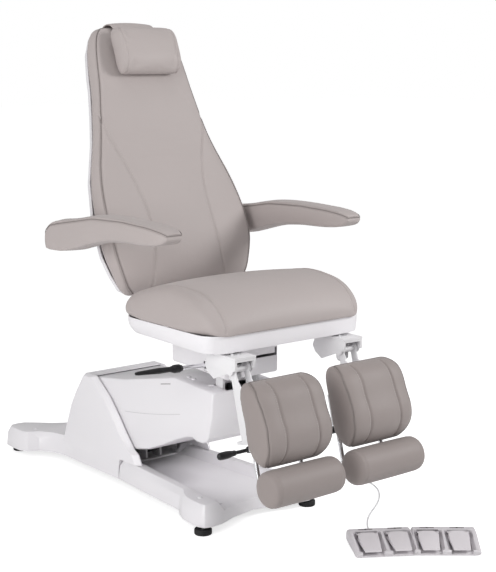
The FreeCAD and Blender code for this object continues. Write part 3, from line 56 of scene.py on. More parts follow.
# Places shared with the CAD frame, in metres
HINGE_Y, HINGE_Z, RECLINE = -0.186, 0.610, math.radians(21.6)
KNEE_X, KNEE_Y, KNEE_Z, LEG_LEAN = 0.192, -0.6685, 0.5385, math.radians(15)
BACK_LEN, BACK_HALF, BACK_BOARD, BACK_DEPTH = 0.852, 0.260, -0.014, 0.082
PAN_FRONT, PAN_REAR, PAN_TOP, PAN_LOW = -0.664, -0.238, 0.590, 0.525
PAD_IN, PAD_HALF, PAD_TOP, PAD_LEN, PAD_BACK, PAD_DEPTH = 0.045, 0.112, 0.074, 0.222, 0.060, 0.108
ROLL_V, ROLL_N, ROLL_R, ROLL_HALF, ROLL_SEAM = 0.348, 0.122, 0.0478, 0.120, 0.1045
ARM_X, ARM_W, ARM_FRONT, ARM_LEN, ARM_LOW, ARM_H = 0.318, 0.074, -0.569, 0.6205, 0.752, 0.128
PILLOW_LOW, PILLOW_H, PILLOW_HALF = 0.670, 0.142, 0.109

# Sewing: width a seam draws in, size and offset of its stitches, step along it, and where an edge seam runs
SEAM_WIDTH, STITCH_RADIUS, STITCH_OFFSET, SEAM_STEP, EDGE_SHARE = 0.0034, 0.0006, 0.006, 0.004, 0.955
AHEAD = 0.2  # places to be laid onto a leaning pad start this far in front of it
MERGE = 0.00002  # points nearer than this become one
SIDES = ((1, "left"), (-1, "right"))


# Settings a user may change

def colour(name, description, value):
    return FloatVectorProperty(name=name, description=description, subtype="COLOR", size=3, min=0, max=1,
                               default=value)


class ChairColours(bpy.types.PropertyGroup):
    upholstery: colour("Upholstery", "Leatherette of the seat, back and arms", (0.455, 0.405, 0.395))
    # Darker than the upholstery: partly the leg rests' own slightly darker leatherette, partly painted shade of the
    # low pads, which get less light
    leg_upholstery: colour("Leg upholstery", "Leatherette of the leg rests", (0.315, 0.273, 0.262))
    shell: colour("Covers", "Moulded covers of base, arm and seat", (0.87, 0.85, 0.875))
    paint: colour("Paint", "Powder coat of the brackets", (0.84, 0.83, 0.845))
    grip: colour("Grips", "Black moulded grips and housings", (0.008, 0.008, 0.009))
    control: colour("Foot control", "Body of the foot control", (0.66, 0.63, 0.655))


class ChairSizes(bpy.types.PropertyGroup):
    voxel: FloatProperty(name="Soft mesh size", description="Face size of the padded pieces before smoothing",
                         default=0.0055, min=0.003, max=0.012, subtype="DISTANCE", unit="LENGTH")
    piping: FloatProperty(name="Piping radius", description="Radius of the piping sewn along the edges",
                          default=0.0011, min=0.0005, max=0.005, subtype="DISTANCE", unit="LENGTH")
    seam_depth: FloatProperty(name="Seam depth", description="How far a sewn seam draws in the surface",
                              default=0.0032, min=0, max=0.01, subtype="DISTANCE", unit="LENGTH")
    edge: FloatProperty(name="Moulded edge", description="Rounding of the edges of moulded covers",
                        default=0.004, min=0.001, max=0.01, subtype="DISTANCE", unit="LENGTH")


# Places on the leaning parts

def back_point(u, up, forward):
    c, s = math.cos(RECLINE), math.sin(RECLINE)
    return Vector((u, HINGE_Y - forward * c + up * s, HINGE_Z + forward * s + up * c))


def leg_point(side, u, down, forward):
    c, s = math.cos(LEG_LEAN), math.sin(LEG_LEAN)
    return Vector((side * KNEE_X + u, KNEE_Y - forward * c - down * s, KNEE_Z + forward * s - down * c))


BACK_INTO = (back_point(0, 0, -1) - back_point(0, 0, 0)).normalized()
LEG_INTO = (leg_point(1, 0, 0, -1) - leg_point(1, 0, 0, 0)).normalized()


# Mesh helpers

def only(piece):
    """Make one piece the active one and the only one selected."""
    if bpy.context.object and bpy.context.object.mode != "OBJECT":
        bpy.ops.object.mode_set(mode="OBJECT")
    bpy.ops.object.select_all(action="DESELECT")
    piece.select_set(True)
    bpy.context.view_layer.objects.active = piece


def new_object(name, data):
    piece = bpy.data.objects.new(name, data)
    bpy.context.scene.collection.objects.link(piece)
    return piece


def added(operator, **values):
    """Add a primitive, a camera or a lamp with nothing else selected."""
    bpy.ops.object.select_all(action="DESELECT")
    operator(**values)
    return bpy.context.object


def in_edit(piece, operator, **values):
    """Run one edit-mode operator on the whole of a piece."""
    only(piece)
    bpy.ops.object.mode_set(mode="EDIT")
    bpy.ops.mesh.select_all(action="SELECT")
    operator(**values)
    bpy.ops.object.mode_set(mode="OBJECT")


def stand_for(piece, node, body):
    """The piece takes the place of a CAD node and its body."""
    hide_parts(node)
    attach(piece, body)


def apply_modifier(piece, kind, **values):
    only(piece)
    tool = piece.modifiers.new(kind, kind)
    for key, value in values.items():
        setattr(tool, key, value)
    bpy.ops.object.modifier_apply(modifier=tool.name)


def node_copy(node, name):
    """Separate copy of a CAD node's mesh, with its loose triangles merged."""
    piece = new_object(name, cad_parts[node].data.copy())
    piece.data.materials.clear()
    in_edit(piece, bpy.ops.mesh.remove_doubles, threshold=MERGE)
    return piece


def points_of(piece):
    co = np.empty(len(piece.data.vertices) * 3)
    piece.data.vertices.foreach_get("co", co)
    return co.reshape(-1, 3)


def normals_of(piece):
    no = np.empty(len(piece.data.vertices) * 3)
    piece.data.vertex_normals.foreach_get("vector", no)
    return no.reshape(-1, 3)


def set_points(piece, co):
    piece.data.vertices.foreach_set("co", co.ravel())
    piece.data.update()


def line_distance(co, line):
    """Least distance from each point to a broken line."""
    best = np.full(len(co), 9.0)
    pts = np.array([tuple(p) for p in line])
    for a, b in zip(pts, pts[1:]):
        way = b - a
        t = np.clip(((co - a) @ way) / max(way @ way, 1e-12), 0, 1)
        best = np.minimum(best, np.linalg.norm(co - (a + t[:, None] * way), axis=1))
    return best


def between(points, step=0.008):
    """The same broken line with places at most one step apart."""
    out = [Vector(points[0])]
    for a, b in zip(points, points[1:]):
        a, b = Vector(a), Vector(b)
        count = max(1, int((b - a).length / step))
        out += [a.lerp(b, i / count) for i in range(1, count + 1)]
    return out


def rounded_line(points, turns=3):
    """Corner-cutting, so that a line through few places runs smoothly."""
    points = [Vector(p) for p in points]
    for _ in range(turns):
        cut = [points[0]]
        for a, b in zip(points, points[1:]):
            cut += [a.lerp(b, 0.25), a.lerp(b, 0.75)]
        points = cut + [points[-1]]
    return points


def onto(piece, line, into, reach=0.4):
    """Lay a line on the piece's surface along one direction."""
    mesh = piece.data
    tree = BVHTree.FromPolygons([v.co for v in mesh.vertices], [p.vertices for p in mesh.polygons])
    found = []
    for p in line:
        hit = tree.ray_cast(Vector(p) - Vector(into) * reach, Vector(into), reach * 2)[0]
        if hit:
            found.append(hit)
    return found


def nearest_on(piece, line):
    mesh = piece.data
    tree = BVHTree.FromPolygons([v.co for v in mesh.vertices], [p.vertices for p in mesh.polygons])
    return [tree.find_nearest(Vector(p))[0] for p in line]


def sew(piece, lines, depth, width):
    """Draw the surface in along sewn seams."""
    co, no = points_of(piece), normals_of(piece)
    pull = np.zeros(len(co))
    for line in lines:
        if len(line) > 1:
            pull = np.maximum(pull, np.exp(-(line_distance(co, line) / width) ** 2))
    set_points(piece, co - no * (pull * depth)[:, None])


def piping(name, line, radius, body, material, closed=False):
    """Round bead sewn along a seam."""
    curve = bpy.data.curves.new(name, "CURVE")
    curve.dimensions = "3D"
    curve.bevel_depth = radius
    curve.bevel_resolution = 2
    curve.use_fill_caps = True
    spline = curve.splines.new("POLY")
    spline.points.add(len(line) - 1)
    for spot, p in zip(spline.points, line):
        spot.co = (*p, 1)
    spline.use_cyclic_u = closed
    only(new_object(name, curve))
    bpy.ops.object.convert(target="MESH")
    bead = bpy.context.object
    bpy.ops.object.shade_smooth()
    dress(bead, material)
    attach(bead, body)
    return bead


def stitches(name, line, radius, body, pitch=0.0065, length=0.0044):
    """Row of short stitches along a line: one small faceted grain, copied along it."""
    row = added(bpy.ops.mesh.primitive_ico_sphere_add, subdivisions=1, radius=1)
    row.name = name
    grain = points_of(row)
    faces = [tuple(p.vertices) for p in row.data.polygons]
    verts, all_faces = [], []
    walked, due = 0.0, pitch / 2
    for a, b in zip(line, line[1:]):
        run = (b - a).length
        while run > 0 and due < walked + run:
            centre = a.lerp(b, (due - walked) / run)
            along = (b - a).normalized()
            across = along.orthogonal().normalized()
            up = along.cross(across)
            turn = np.array([along * length / 2, across * radius, up * radius])
            base = len(verts)
            verts += [tuple(p) for p in grain @ turn + np.array(centre)]
            all_faces += [tuple(base + i for i in face) for face in faces]
            due += pitch
        walked += run
    mesh = bpy.data.meshes.new(name)
    mesh.from_pydata(verts, [], all_faces)
    row.data = mesh
    only(row)
    bpy.ops.object.shade_smooth()
    dress(row, "thread")
    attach(row, body)
    return row


def turned(name, profile, steps, place):
    """Turn a profile of (along, radius) places round the X axis; place then says where each point goes."""
    mesh = bpy.data.meshes.new(name)
    mesh.from_pydata([(a, 0, r) for a, r in profile], [(i, i + 1) for i in range(len(profile) - 1)], [])
    piece = new_object(name, mesh)
    in_edit(piece, bpy.ops.mesh.spin, steps=steps, angle=2 * math.pi, center=(0, 0, 0), axis=(1, 0, 0))
    in_edit(piece, bpy.ops.mesh.remove_doubles, threshold=MERGE)
    set_points(piece, np.array([tuple(place(*p)) for p in points_of(piece)]))
    in_edit(piece, bpy.ops.mesh.normals_make_consistent, inside=False)
    bpy.ops.object.shade_smooth()
    return piece


DOME = [(-0.2, 0), (-0.2, 1), (0, 1), (0.12, 0.99), (0.26, 0.93), (0.38, 0.80), (0.46, 0.58), (0.50, 0.30),
        (0.51, 0)]
DOME_SINK = 0.0006


def dome(name, place, way, radius, body):
    """Low round head of a screw cap, standing on a surface."""
    turn = Vector(way).to_track_quat("X", "Z")
    start = Vector(place) - Vector(way) * DOME_SINK
    head = turned(name, DOME, 24, lambda *p: start + turn @ (Vector(p) * radius))
    dress(head, "shell")
    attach(head, body)


def add_block(piece, low, high):
    """Join a box to the piece."""
    low, high = Vector(low), Vector(high)
    box = added(bpy.ops.mesh.primitive_cube_add, size=1, location=(low + high) / 2, scale=high - low)
    bpy.ops.object.transform_apply(location=True, rotation=True, scale=True)
    apply_modifier(piece, "BOOLEAN", operation="UNION", object=box, solver="EXACT")
    bpy.data.objects.remove(box)


HELD_FOOT = 0.004


def puff(piece, hold_lines, hold_width, cap, pressure=4.0, frames=16):
    """Swell the cover between its seams with a short cloth simulation, then keep the result in the mesh."""
    co = points_of(piece)
    low = co @ np.array(piece["into"])
    held = low > low.max() - HELD_FOOT
    for line in hold_lines:
        if len(line) > 1:
            held |= line_distance(co, line) < hold_width
    group = piece.vertex_groups.new(name="held")
    group.add([int(i) for i in np.nonzero(held)[0]], 1.0, "REPLACE")
    tool = piece.modifiers.new("cloth", "CLOTH")
    cloth = tool.settings
    cloth.quality = 5
    cloth.mass = 0.3
    cloth.tension_stiffness = 25
    cloth.compression_stiffness = 25
    cloth.bending_stiffness = 1.0
    cloth.use_pressure = True
    cloth.uniform_pressure_force = pressure
    cloth.effector_weights.gravity = 0
    cloth.vertex_group_mass = "held"
    tool.collision_settings.use_collision = False
    tool.point_cache.frame_start, tool.point_cache.frame_end = 1, frames
    scene = bpy.context.scene
    for number in range(1, frames + 1):
        scene.frame_set(number)
    seen = piece.evaluated_get(bpy.context.evaluated_depsgraph_get())
    new = np.empty(len(co) * 3)
    seen.data.vertices.foreach_get("co", new)
    new = new.reshape(-1, 3)
    piece.modifiers.remove(tool)
    piece.vertex_groups.remove(group)
    scene.frame_set(1)
    step = new - co
    size = np.linalg.norm(step, axis=1)
    share = np.where(size > cap, cap / np.maximum(size, 1e-9), 1)
    set_points(piece, co + step * share[:, None])


BASE_EDGE = 0.012


def stuffed(node, name, into, voxel, smoothing=6):
    """Even mesh over a CAD cushion, ready to be swelled and sewn. The side it rests on keeps its edge."""
    piece = node_copy(node, name)
    apply_modifier(piece, "REMESH", mode="VOXEL", voxel_size=voxel)
    before = points_of(piece)
    apply_modifier(piece, "SMOOTH", factor=0.5, iterations=smoothing)
    after = points_of(piece)
    depth = before @ np.array(into)
    keep = np.clip((depth - depth.max() + BASE_EDGE) / (BASE_EDGE / 2), 0, 1)[:, None]
    set_points(piece, before * keep + after * (1 - keep))
    piece["into"] = [float(x) for x in into]
    return piece


def seated(piece, height, spread):
    """Push the foot of a cushion's side outwards, so that it meets the rim of what it rests on."""
    co, no = points_of(piece), normals_of(piece)
    into = np.array(piece["into"])
    depth = co @ into
    low = np.clip((depth - depth.max() + height) / height, 0, 1) ** 1.8
    side = no - (no @ into)[:, None] * into
    size = np.linalg.norm(side, axis=1)
    side = np.where(size[:, None] > 0.25, side / np.maximum(size, 1e-6)[:, None], 0)
    set_points(piece, co + side * (low * spread)[:, None])


def cover(piece, node, body, material):
    """Finish of a padded piece: it takes the place of its CAD solid."""
    only(piece)
    bpy.ops.object.shade_smooth()
    piece.pop("into", None)
    dress(piece, material)
    stand_for(piece, node, body)


def finer(piece):
    apply_modifier(piece, "SUBSURF", levels=1, render_levels=1)


# Materials

def socket(group, name, side, kind="NodeSocketFloat", value=None):
    item = group.interface.new_socket(name=name, in_out=side, socket_type=kind)
    if value is not None:
        item.default_value = value
    return item


def set_inputs(node, **inputs):
    for key, value in inputs.items():
        node.inputs[key.replace("_", " ").title()].default_value = value


def texture(tree, kind, coordinates, **inputs):
    node = tree.nodes.new(kind)
    tree.links.new(coordinates, node.inputs["Vector"])
    set_inputs(node, **inputs)
    return node


def maths(tree, operation, a, b):
    node = tree.nodes.new("ShaderNodeMath")
    node.operation = operation
    for place, value in zip(node.inputs, (a, b)):
        if isinstance(value, (int, float)):
            place.default_value = value
        else:
            tree.links.new(value, place)
    return node.outputs[0]


CREASE_SCALE = 15.0


def surface_group(name, grain_scale, grain_share, tone_scale, stretch=(1, 1, 1)):
    """Shared surface: tones of one colour, a roughness that varies, a fine grain and soft creases as height."""
    group = bpy.data.node_groups.new(name, "ShaderNodeTree")
    socket(group, "Color", "INPUT", "NodeSocketColor")
    socket(group, "Tone", "INPUT", value=0.1)
    socket(group, "Roughness", "INPUT", value=0.5)
    socket(group, "Spread", "INPUT", value=0.05)
    socket(group, "Crease", "INPUT", value=0.0)
    socket(group, "Color", "OUTPUT", "NodeSocketColor")
    socket(group, "Roughness", "OUTPUT")
    socket(group, "Height", "OUTPUT")
    nodes, links = group.nodes, group.links
    given, out = nodes.new("NodeGroupInput"), nodes.new("NodeGroupOutput")
    place = nodes.new("ShaderNodeTexCoord")
    turn = nodes.new("ShaderNodeMapping")
    turn.inputs["Scale"].default_value = stretch
    links.new(place.outputs["Object"], turn.inputs["Vector"])
    wide = texture(group, "ShaderNodeTexNoise", place.outputs["Object"], scale=tone_scale, detail=3.0)
    fine = texture(group, "ShaderNodeTexNoise", turn.outputs[0], scale=grain_scale, detail=4.0)
    cells = texture(group, "ShaderNodeTexVoronoi", turn.outputs[0], scale=grain_scale * 0.8)
    shade = maths(group, "MULTIPLY", maths(group, "SUBTRACT", wide.outputs[0], 0.5), given.outputs["Tone"])
    grey = maths(group, "ADD", maths(group, "MULTIPLY", shade, 2.0), 1.0)
    mix = nodes.new("ShaderNodeMix")
    mix.data_type, mix.blend_type = "RGBA", "MULTIPLY"
    mix.inputs["Factor"].default_value = 1.0
    links.new(given.outputs["Color"], mix.inputs[6])
    links.new(grey, mix.inputs[7])
    links.new(mix.outputs[2], out.inputs["Color"])
    spread = maths(group, "MULTIPLY", maths(group, "SUBTRACT", fine.outputs[0], 0.5), given.outputs["Spread"])
    links.new(maths(group, "ADD", given.outputs["Roughness"], spread), out.inputs["Roughness"])
    grain = maths(group, "MULTIPLY", cells.outputs["Distance"], grain_share)
    skin = maths(group, "ADD", grain, maths(group, "MULTIPLY", fine.outputs[0], 1 - grain_share))
    soft = texture(group, "ShaderNodeTexNoise", place.outputs["Object"], scale=CREASE_SCALE, detail=2.0,
                   distortion=0.9)
    folds = maths(group, "MULTIPLY", soft.outputs[0], given.outputs["Crease"])
    links.new(maths(group, "ADD", skin, folds), out.inputs["Height"])
    return group


groups = {}
finishes = {}


def finish(name, group, tint, tone, roughness, spread, bump, metal=0.0, coat=0.0, sheen=0.0, crease=0.0,
           gloss=0.5):
    """Material with a shared surface and its own values."""
    material = bpy.data.materials.new(name)
    material.use_nodes = True
    tree = material.node_tree
    shader = tree.nodes["Principled BSDF"]
    surface = tree.nodes.new("ShaderNodeGroup")
    surface.node_tree = groups[group]
    set_inputs(surface, color=(*tint, 1), tone=tone, roughness=roughness, spread=spread, crease=crease)
    lift = tree.nodes.new("ShaderNodeBump")
    set_inputs(lift, strength=1.0, distance=bump)
    tree.links.new(surface.outputs["Color"], shader.inputs["Base Color"])
    tree.links.new(surface.outputs["Roughness"], shader.inputs["Roughness"])
    tree.links.new(surface.outputs["Height"], lift.inputs["Height"])
    tree.links.new(lift.outputs[0], shader.inputs["Normal"])
    set_inputs(shader, metallic=metal, coat_weight=coat, sheen_weight=sheen)
    shader.inputs["Specular IOR Level"].default_value = gloss
    material.diffuse_color = (*tint, 1)
    finishes[name] = material


def dress(piece, name):
    piece.data.materials.clear()
    piece.data.materials.append(finishes[name])


NODE_FINISH = {
    "rubber": ("levelling_feet", "foot_control_feet"),
    "steel": ("foot_stems", "back_hinge_pin", "leg_swivel_bolts", "pedal_pins", "gas_spring_rod_left",
              "gas_spring_rod_right", "lift_actuator_rod", "back_actuator_rod", "swivel_bearing"),
    "paint": ("tower_bracket", "lift_arm_frame", "lower_link", "carriage_frame", "seat_frame",
              "back_frame", "leg_frame_left", "leg_frame_right", "knee_bracket_left", "knee_bracket_right",
              "armrest_bracket_left", "armrest_bracket_right"),
    "shell": ("base_cover_front", "base_cover_rear", "lift_arm_cover", "carriage_cover", "seat_pan", "back_shell"),
    "chrome": ("swivel_lever", "roll_rods_left", "roll_rods_right"),
    # base_frame takes the black grip finish so that its bars, seen through the window under the arm, read as
    # shadow: painted shade. The other parts here are black in their own right
    "grip": ("base_frame", "swivel_lever_grip", "release_lever_left", "release_lever_right", "control_box",
             "mains_inlet", "cable_gland", "lift_actuator", "back_actuator", "gas_spring_left", "gas_spring_right"),
    "upholstery": ("seat_cushion", "back_cushion", "armrest_left", "armrest_right", "headrest_pillow",
                   "headrest_counterweight", "headrest_strap"),
    "leg_upholstery": ("calf_cushion_left", "calf_cushion_right", "foot_roll_left", "foot_roll_right"),
    "control": ("foot_control_base",),
    "pedal": ("pedal_1", "pedal_2", "pedal_3", "pedal_4"),
    "cord": ("foot_control_cord",),
}


class CHAIR_OT_finishes(bpy.types.Operator):
    """Make the materials and give each CAD node its own"""
    bl_idname = "chair.finishes"
    bl_label = "Finishes"

    def execute(self, context):
        tints = context.scene.chair_colours
        groups["leather"] = surface_group("leather_grain", 620, 0.55, 2.6)
        groups["moulded"] = surface_group("moulded_skin", 900, 0.25, 3.0)
        groups["brushed"] = surface_group("brushed_metal", 500, 0.1, 6.0, (1, 1, 12))
        finish("upholstery", "leather", tints.upholstery, 0.06, 0.56, 0.14, 0.00022, sheen=0.12, crease=5.0,
               gloss=0.34)
        # Same leatherette as the upholstery in a darker tint: partly its own tone, partly painted shade of the low
        # leg rests
        finish("leg_upholstery", "leather", tints.leg_upholstery, 0.06, 0.56, 0.14, 0.00022, sheen=0.12,
               crease=5.0, gloss=0.34)
        finish("thread", "moulded", (0.52, 0.47, 0.455), 0.05, 0.6, 0.1, 0.00005)
        # Dark bead colour of the piping, about half as bright as the leatherette: painted shade of the seam grooves
        finish("seam", "moulded", (0.25, 0.22, 0.212), 0.05, 0.6, 0.1, 0.00005, gloss=0.3)
        # Grey of the bead laid along the arm cover's crease: painted shade of the crease
        finish("shade", "moulded", (0.62, 0.60, 0.62), 0.02, 0.5, 0.05, 0.00003)
        # Dark grey laid where a slot is, on a bead or a flat disc with no hollow behind it: painted shade of a
        # recess
        finish("painted_recess_shade", "moulded", (0.26, 0.24, 0.25), 0.05, 0.6, 0.1, 0.00005, gloss=0.3)
        finish("shell", "moulded", tints.shell, 0.02, 0.34, 0.05, 0.00003, coat=0.12)
        finish("paint", "moulded", tints.paint, 0.03, 0.38, 0.08, 0.00006)
        finish("grip", "moulded", tints.grip, 0.10, 0.36, 0.12, 0.00008)
        finish("rubber", "moulded", (0.008, 0.008, 0.009), 0.15, 0.66, 0.10, 0.00015)
        finish("control", "moulded", tints.control, 0.03, 0.44, 0.06, 0.00006)
        finish("pedal", "moulded", (0.70, 0.665, 0.69), 0.04, 0.42, 0.06, 0.00006)
        finish("cord", "moulded", (0.78, 0.78, 0.79), 0.03, 0.45, 0.05, 0.00003)
        finish("steel", "brushed", (0.60, 0.60, 0.61), 0.05, 0.30, 0.12, 0.00003, metal=1.0)
        finish("chrome", "brushed", (0.82, 0.82, 0.84), 0.02, 0.12, 0.04, 0.00001, metal=1.0)
        for name, nodes in NODE_FINISH.items():
            for node in nodes:
                dress(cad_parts[node], name)
        return {"FINISHED"}


# Camera, light and floor

class CHAIR_OT_camera(bpy.types.Operator):
    """Put the camera at the photograph's viewing angle"""
    bl_idname = "chair.camera"
    bl_label = "Camera"

    def execute(self, context):
        camera = added(bpy.ops.object.camera_add, location=(-2.273, -3.3015, 1.300))
        camera.rotation_mode = "QUATERNION"
        camera.rotation_quaternion = Vector((0.6175, 0.7680, -0.1702)).to_track_quat("-Z", "Y")
        camera.data.sensor_width = 36
        camera.data.lens = 82.45
        context.scene.camera = camera
        return {"FINISHED"}


def lamp(name, place, aim, size, power):
    light = added(bpy.ops.object.light_add, type="AREA", location=place)
    light.name = name
    light.data.size = size
    light.data.energy = power
    light.rotation_mode = "QUATERNION"
    light.rotation_quaternion = (Vector(aim) - Vector(place)).to_track_quat("-Z", "Y")


class CHAIR_OT_stage(bpy.types.Operator):
    """Pale floor and soft studio light"""
    bl_idname = "chair.stage"
    bl_label = "Stage"

    def execute(self, context):
        floor = added(bpy.ops.mesh.primitive_plane_add, size=60)
        floor.name = "floor"
        paper = bpy.data.materials.new("paper")
        paper.use_nodes = True
        shader = paper.node_tree.nodes["Principled BSDF"]
        shader.inputs["Base Color"].default_value = (0.80, 0.80, 0.80, 1)
        shader.inputs["Roughness"].default_value = 0.9
        shader.inputs["Specular IOR Level"].default_value = 0.1
        shader.inputs["Emission Color"].default_value = (1, 1, 1, 1)
        tree = paper.node_tree
        ray = tree.nodes.new("ShaderNodeLightPath")
        glow = maths(tree, "ADD", maths(tree, "MULTIPLY", ray.outputs["Is Camera Ray"], 0.62), 0.08)
        tree.links.new(glow, shader.inputs["Emission Strength"])
        floor.data.materials.append(paper)
        lamp("left", (-3.4, -1.2, 1.5), (0, -0.2, 0.6), 2.6, 72)
        lamp("key", (1.9, -2.5, 2.1), (0, -0.1, 0.8), 0.9, 50)
        lamp("top", (-0.3, 0.2, 3.6), (0, -0.2, 0.6), 2.4, 14)
        world = bpy.data.worlds.new("studio")
        world.use_nodes = True
        tree = world.node_tree
        sky = tree.nodes["Background"]
        sky.inputs["Color"].default_value = (1, 1, 1, 1)
        ray = tree.nodes.new("ShaderNodeLightPath")
        bright = maths(tree, "ADD", maths(tree, "MULTIPLY", ray.outputs["Is Camera Ray"], 0.62), 0.38)
        tree.links.new(bright, sky.inputs["Strength"])
        context.scene.world = world
        context.scene.view_settings.view_transform = "Standard"
        return {"FINISHED"}


# Cord of the foot control

CORD_PLACES = [
    (0.142, -0.840, 0.017), (0.160, -0.815, 0.014), (0.182, -0.786, 0.005), (0.212, -0.750, 0.0026),
    (0.252, -0.712, 0.0026), (0.305, -0.676, 0.0026), (0.362, -0.640, 0.0026), (0.414, -0.596, 0.0026),
    (0.458, -0.541, 0.0026), (0.482, -0.478, 0.0026), (0.470, -0.414, 0.0026), (0.418, -0.372, 0.0026),
    (0.352, -0.344, 0.0026), (0.284, -0.316, 0.0026), (0.220, -0.282, 0.0026), (0.162, -0.238, 0.0026),
    (0.112, -0.184, 0.0026), (0.074, -0.122, 0.0026), (0.050, -0.054, 0.0026), (0.038, 0.014, 0.0026),
    (0.024, 0.078, 0.006), (0.008, 0.132, 0.024), (0.0, 0.178, 0.0415), (0.0, 0.196, 0.0415)]


class CHAIR_OT_cord(bpy.types.Operator):
    """Cord from the foot control, over the floor, to the box under the tower"""
    bl_idname = "chair.cord"
    bl_label = "Foot control cord"

    def execute(self, context):
        curve = bpy.data.curves.new("control_cord", "CURVE")
        curve.dimensions = "3D"
        curve.bevel_depth = 0.0025
        curve.bevel_resolution = 3
        curve.resolution_u = 8
        curve.use_fill_caps = True
        spline = curve.splines.new("NURBS")
        spline.points.add(len(CORD_PLACES) - 1)
        for spot, p in zip(spline.points, CORD_PLACES):
            spot.co = (*p, 1)
        spline.order_u = 3
        spline.use_endpoint_u = True
        cord = new_object("control_cord", curve)
        curve.materials.append(finishes["cord"])
        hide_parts("foot_control_cord")
        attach(cord, "root")
        return {"FINISHED"}


# Upholstery

def both(line):
    return [line, [(-p[0], *p[1:]) for p in line]]


def ring_round(edges):
    """One closed line from the two side lines of an edge."""
    return edges[0] + list(reversed(edges[1])) + [edges[0][0]]


# Foot of the seat cushion: height it begins at, share it spreads, length it fades over, how far it sinks
SKIRT_TOP, SKIRT, SKIRT_FADE, SKIRT_SINK = 0.637, 0.066, 0.11, 0.0015


class CHAIR_OT_seat(bpy.types.Operator):
    """Seat cushion with a seam at each side"""
    bl_idname = "chair.seat"
    bl_label = "Seat cushion"

    def execute(self, context):
        sizes = context.scene.chair_sizes
        seat = stuffed("seat_cushion", "seat_cushion_cover", (0, 0, -1), sizes.voxel * 1.1)
        self.settle(seat)
        half = [(-0.262, -0.245, 0.8), (-0.250, -0.33, 0.8), (-0.237, -0.45, 0.8), (-0.230, -0.55, 0.8),
                (-0.229, -0.62, 0.8), (-0.229, -0.670, 0.8)]
        ways = [rounded_line(way, 2) for way in both(half)]
        lines = [onto(seat, between(way), (0, 0, -1)) for way in ways]
        puff(seat, lines, 0.012, 0.004)
        finer(seat)
        lines = [onto(seat, between(way, SEAM_STEP), (0, 0, -1)) for way in ways]
        sew(seat, lines, sizes.seam_depth, SEAM_WIDTH)
        for side, way, label in ((-1, ways[0], "right"), (1, ways[1], "left")):
            inner = [(p[0] - side * STITCH_OFFSET, p[1], p[2]) for p in way]
            stitches("seat_stitches_" + label, onto(seat, between(inner, SEAM_STEP), (0, 0, -1)), STITCH_RADIUS,
                     "seat")
        cover(seat, "seat_cushion", "seat", "upholstery")
        return {"FINISHED"}

    def settle(self, seat):
        """Spread the lowest part of the cushion out to the rim of the pan that it rests on."""
        co = points_of(seat)
        low = np.clip((SKIRT_TOP - co[:, 2]) / (SKIRT_TOP - PAN_TOP), 0, 1) ** 1.8
        ends = np.minimum(co[:, 1] - PAN_FRONT, PAN_REAR - co[:, 1])
        co[:, 0] *= 1 + SKIRT * low * np.clip(ends / SKIRT_FADE, 0.3, 1)
        co[:, 2] -= SKIRT_SINK * low
        set_points(seat, co)


BACK_FOOT, BACK_SPREAD = 0.030, 0.006
# Edge seams as (along, share of half width, share of depth) places
BACK_ROWS = [(0.027, 0.76, 0.18), (0.045, 0.86, 0.42), (0.1, 0.935, 0.646), (0.17, 0.995, 0.79),
             (0.30, 1, 0.77), (0.431, 0.935, 0.60), (0.571, 0.79, 0.512), (0.664, 0.72, 0.549),
             (0.76, 0.66, 0.61), (0.822, 0.635, 0.62), (0.903, 0.585, 0.60), (0.962, 0.495, 0.49),
             (0.985, 0.38, 0.32)]


class CHAIR_OT_back(bpy.types.Operator):
    """Back cushion with two long seams and piping round its edge"""
    bl_idname = "chair.back"
    bl_label = "Back cushion"

    def execute(self, context):
        sizes = context.scene.chair_sizes
        back = stuffed("back_cushion", "back_cushion_cover", BACK_INTO, sizes.voxel * 1.15)
        seated(back, BACK_FOOT, BACK_SPREAD)
        seams = [(0.184, 0.56), (0.178, 0.50), (0.152, 0.44), (0.130, 0.37), (0.115, 0.29), (0.111, 0.21),
                 (0.119, 0.12), (0.133, 0.03)]
        ways = [[back_point(side * u, t, AHEAD) for u, t in seams] for side in (-1, 1)]
        ways = [rounded_line(way, 2) for way in ways]
        edges = [[back_point(side * w * BACK_HALF * EDGE_SHARE, t * BACK_LEN, BACK_BOARD - 0.002 + e * BACK_DEPTH)
                  for t, w, e in BACK_ROWS] for side in (-1, 1)]
        edges = [nearest_on(back, rounded_line(edge, 2)) for edge in edges]
        lines = [onto(back, between(way), BACK_INTO) for way in ways]
        puff(back, lines + edges, 0.012, 0.007)
        finer(back)
        lines = [onto(back, between(way, SEAM_STEP), BACK_INTO) for way in ways]
        sew(back, lines, sizes.seam_depth, SEAM_WIDTH)
        for side, label in SIDES:
            inner = rounded_line([back_point(side * (u - STITCH_OFFSET), t, AHEAD) for u, t in seams], 2)
            stitches("back_stitches_" + label, onto(back, between(inner, SEAM_STEP), BACK_INTO), STITCH_RADIUS,
                     "back")
        loop = edges[0] + list(reversed(edges[1]))
        loop = nearest_on(back, between(loop, 0.006))
        sew(back, [loop], sizes.seam_depth * 0.8, 0.004)
        # The piping takes the dark seam colour: painted shade along the edge seam
        piping("back_piping", loop, sizes.piping, "back", "seam")
        cover(back, "back_cushion", "back", "upholstery")
        return {"FINISHED"}


# Side line of the headrest strap as (up, forward) places, from behind the pillow over the top and down
STRAP_LINE = [(0.676, 0.0545), (0.72, 0.0545), (0.78, 0.0545), (0.798, 0.0535), (0.818, 0.0465), (0.838, 0.0370),
              (0.850, 0.0250), (0.856, 0.0080), (0.8565, -0.0060), (0.853, -0.0200), (0.844, -0.0360),
              (0.832, -0.0500), (0.818, -0.0605), (0.800, -0.0645), (0.76, -0.0645), (0.704, -0.0645)]
STRAP_HALF, STRAP_THICK, STRAP_FALL, STRAP_TURN = 0.075, 0.004, 0.005, 0.81
PILLOW_N = 0.082


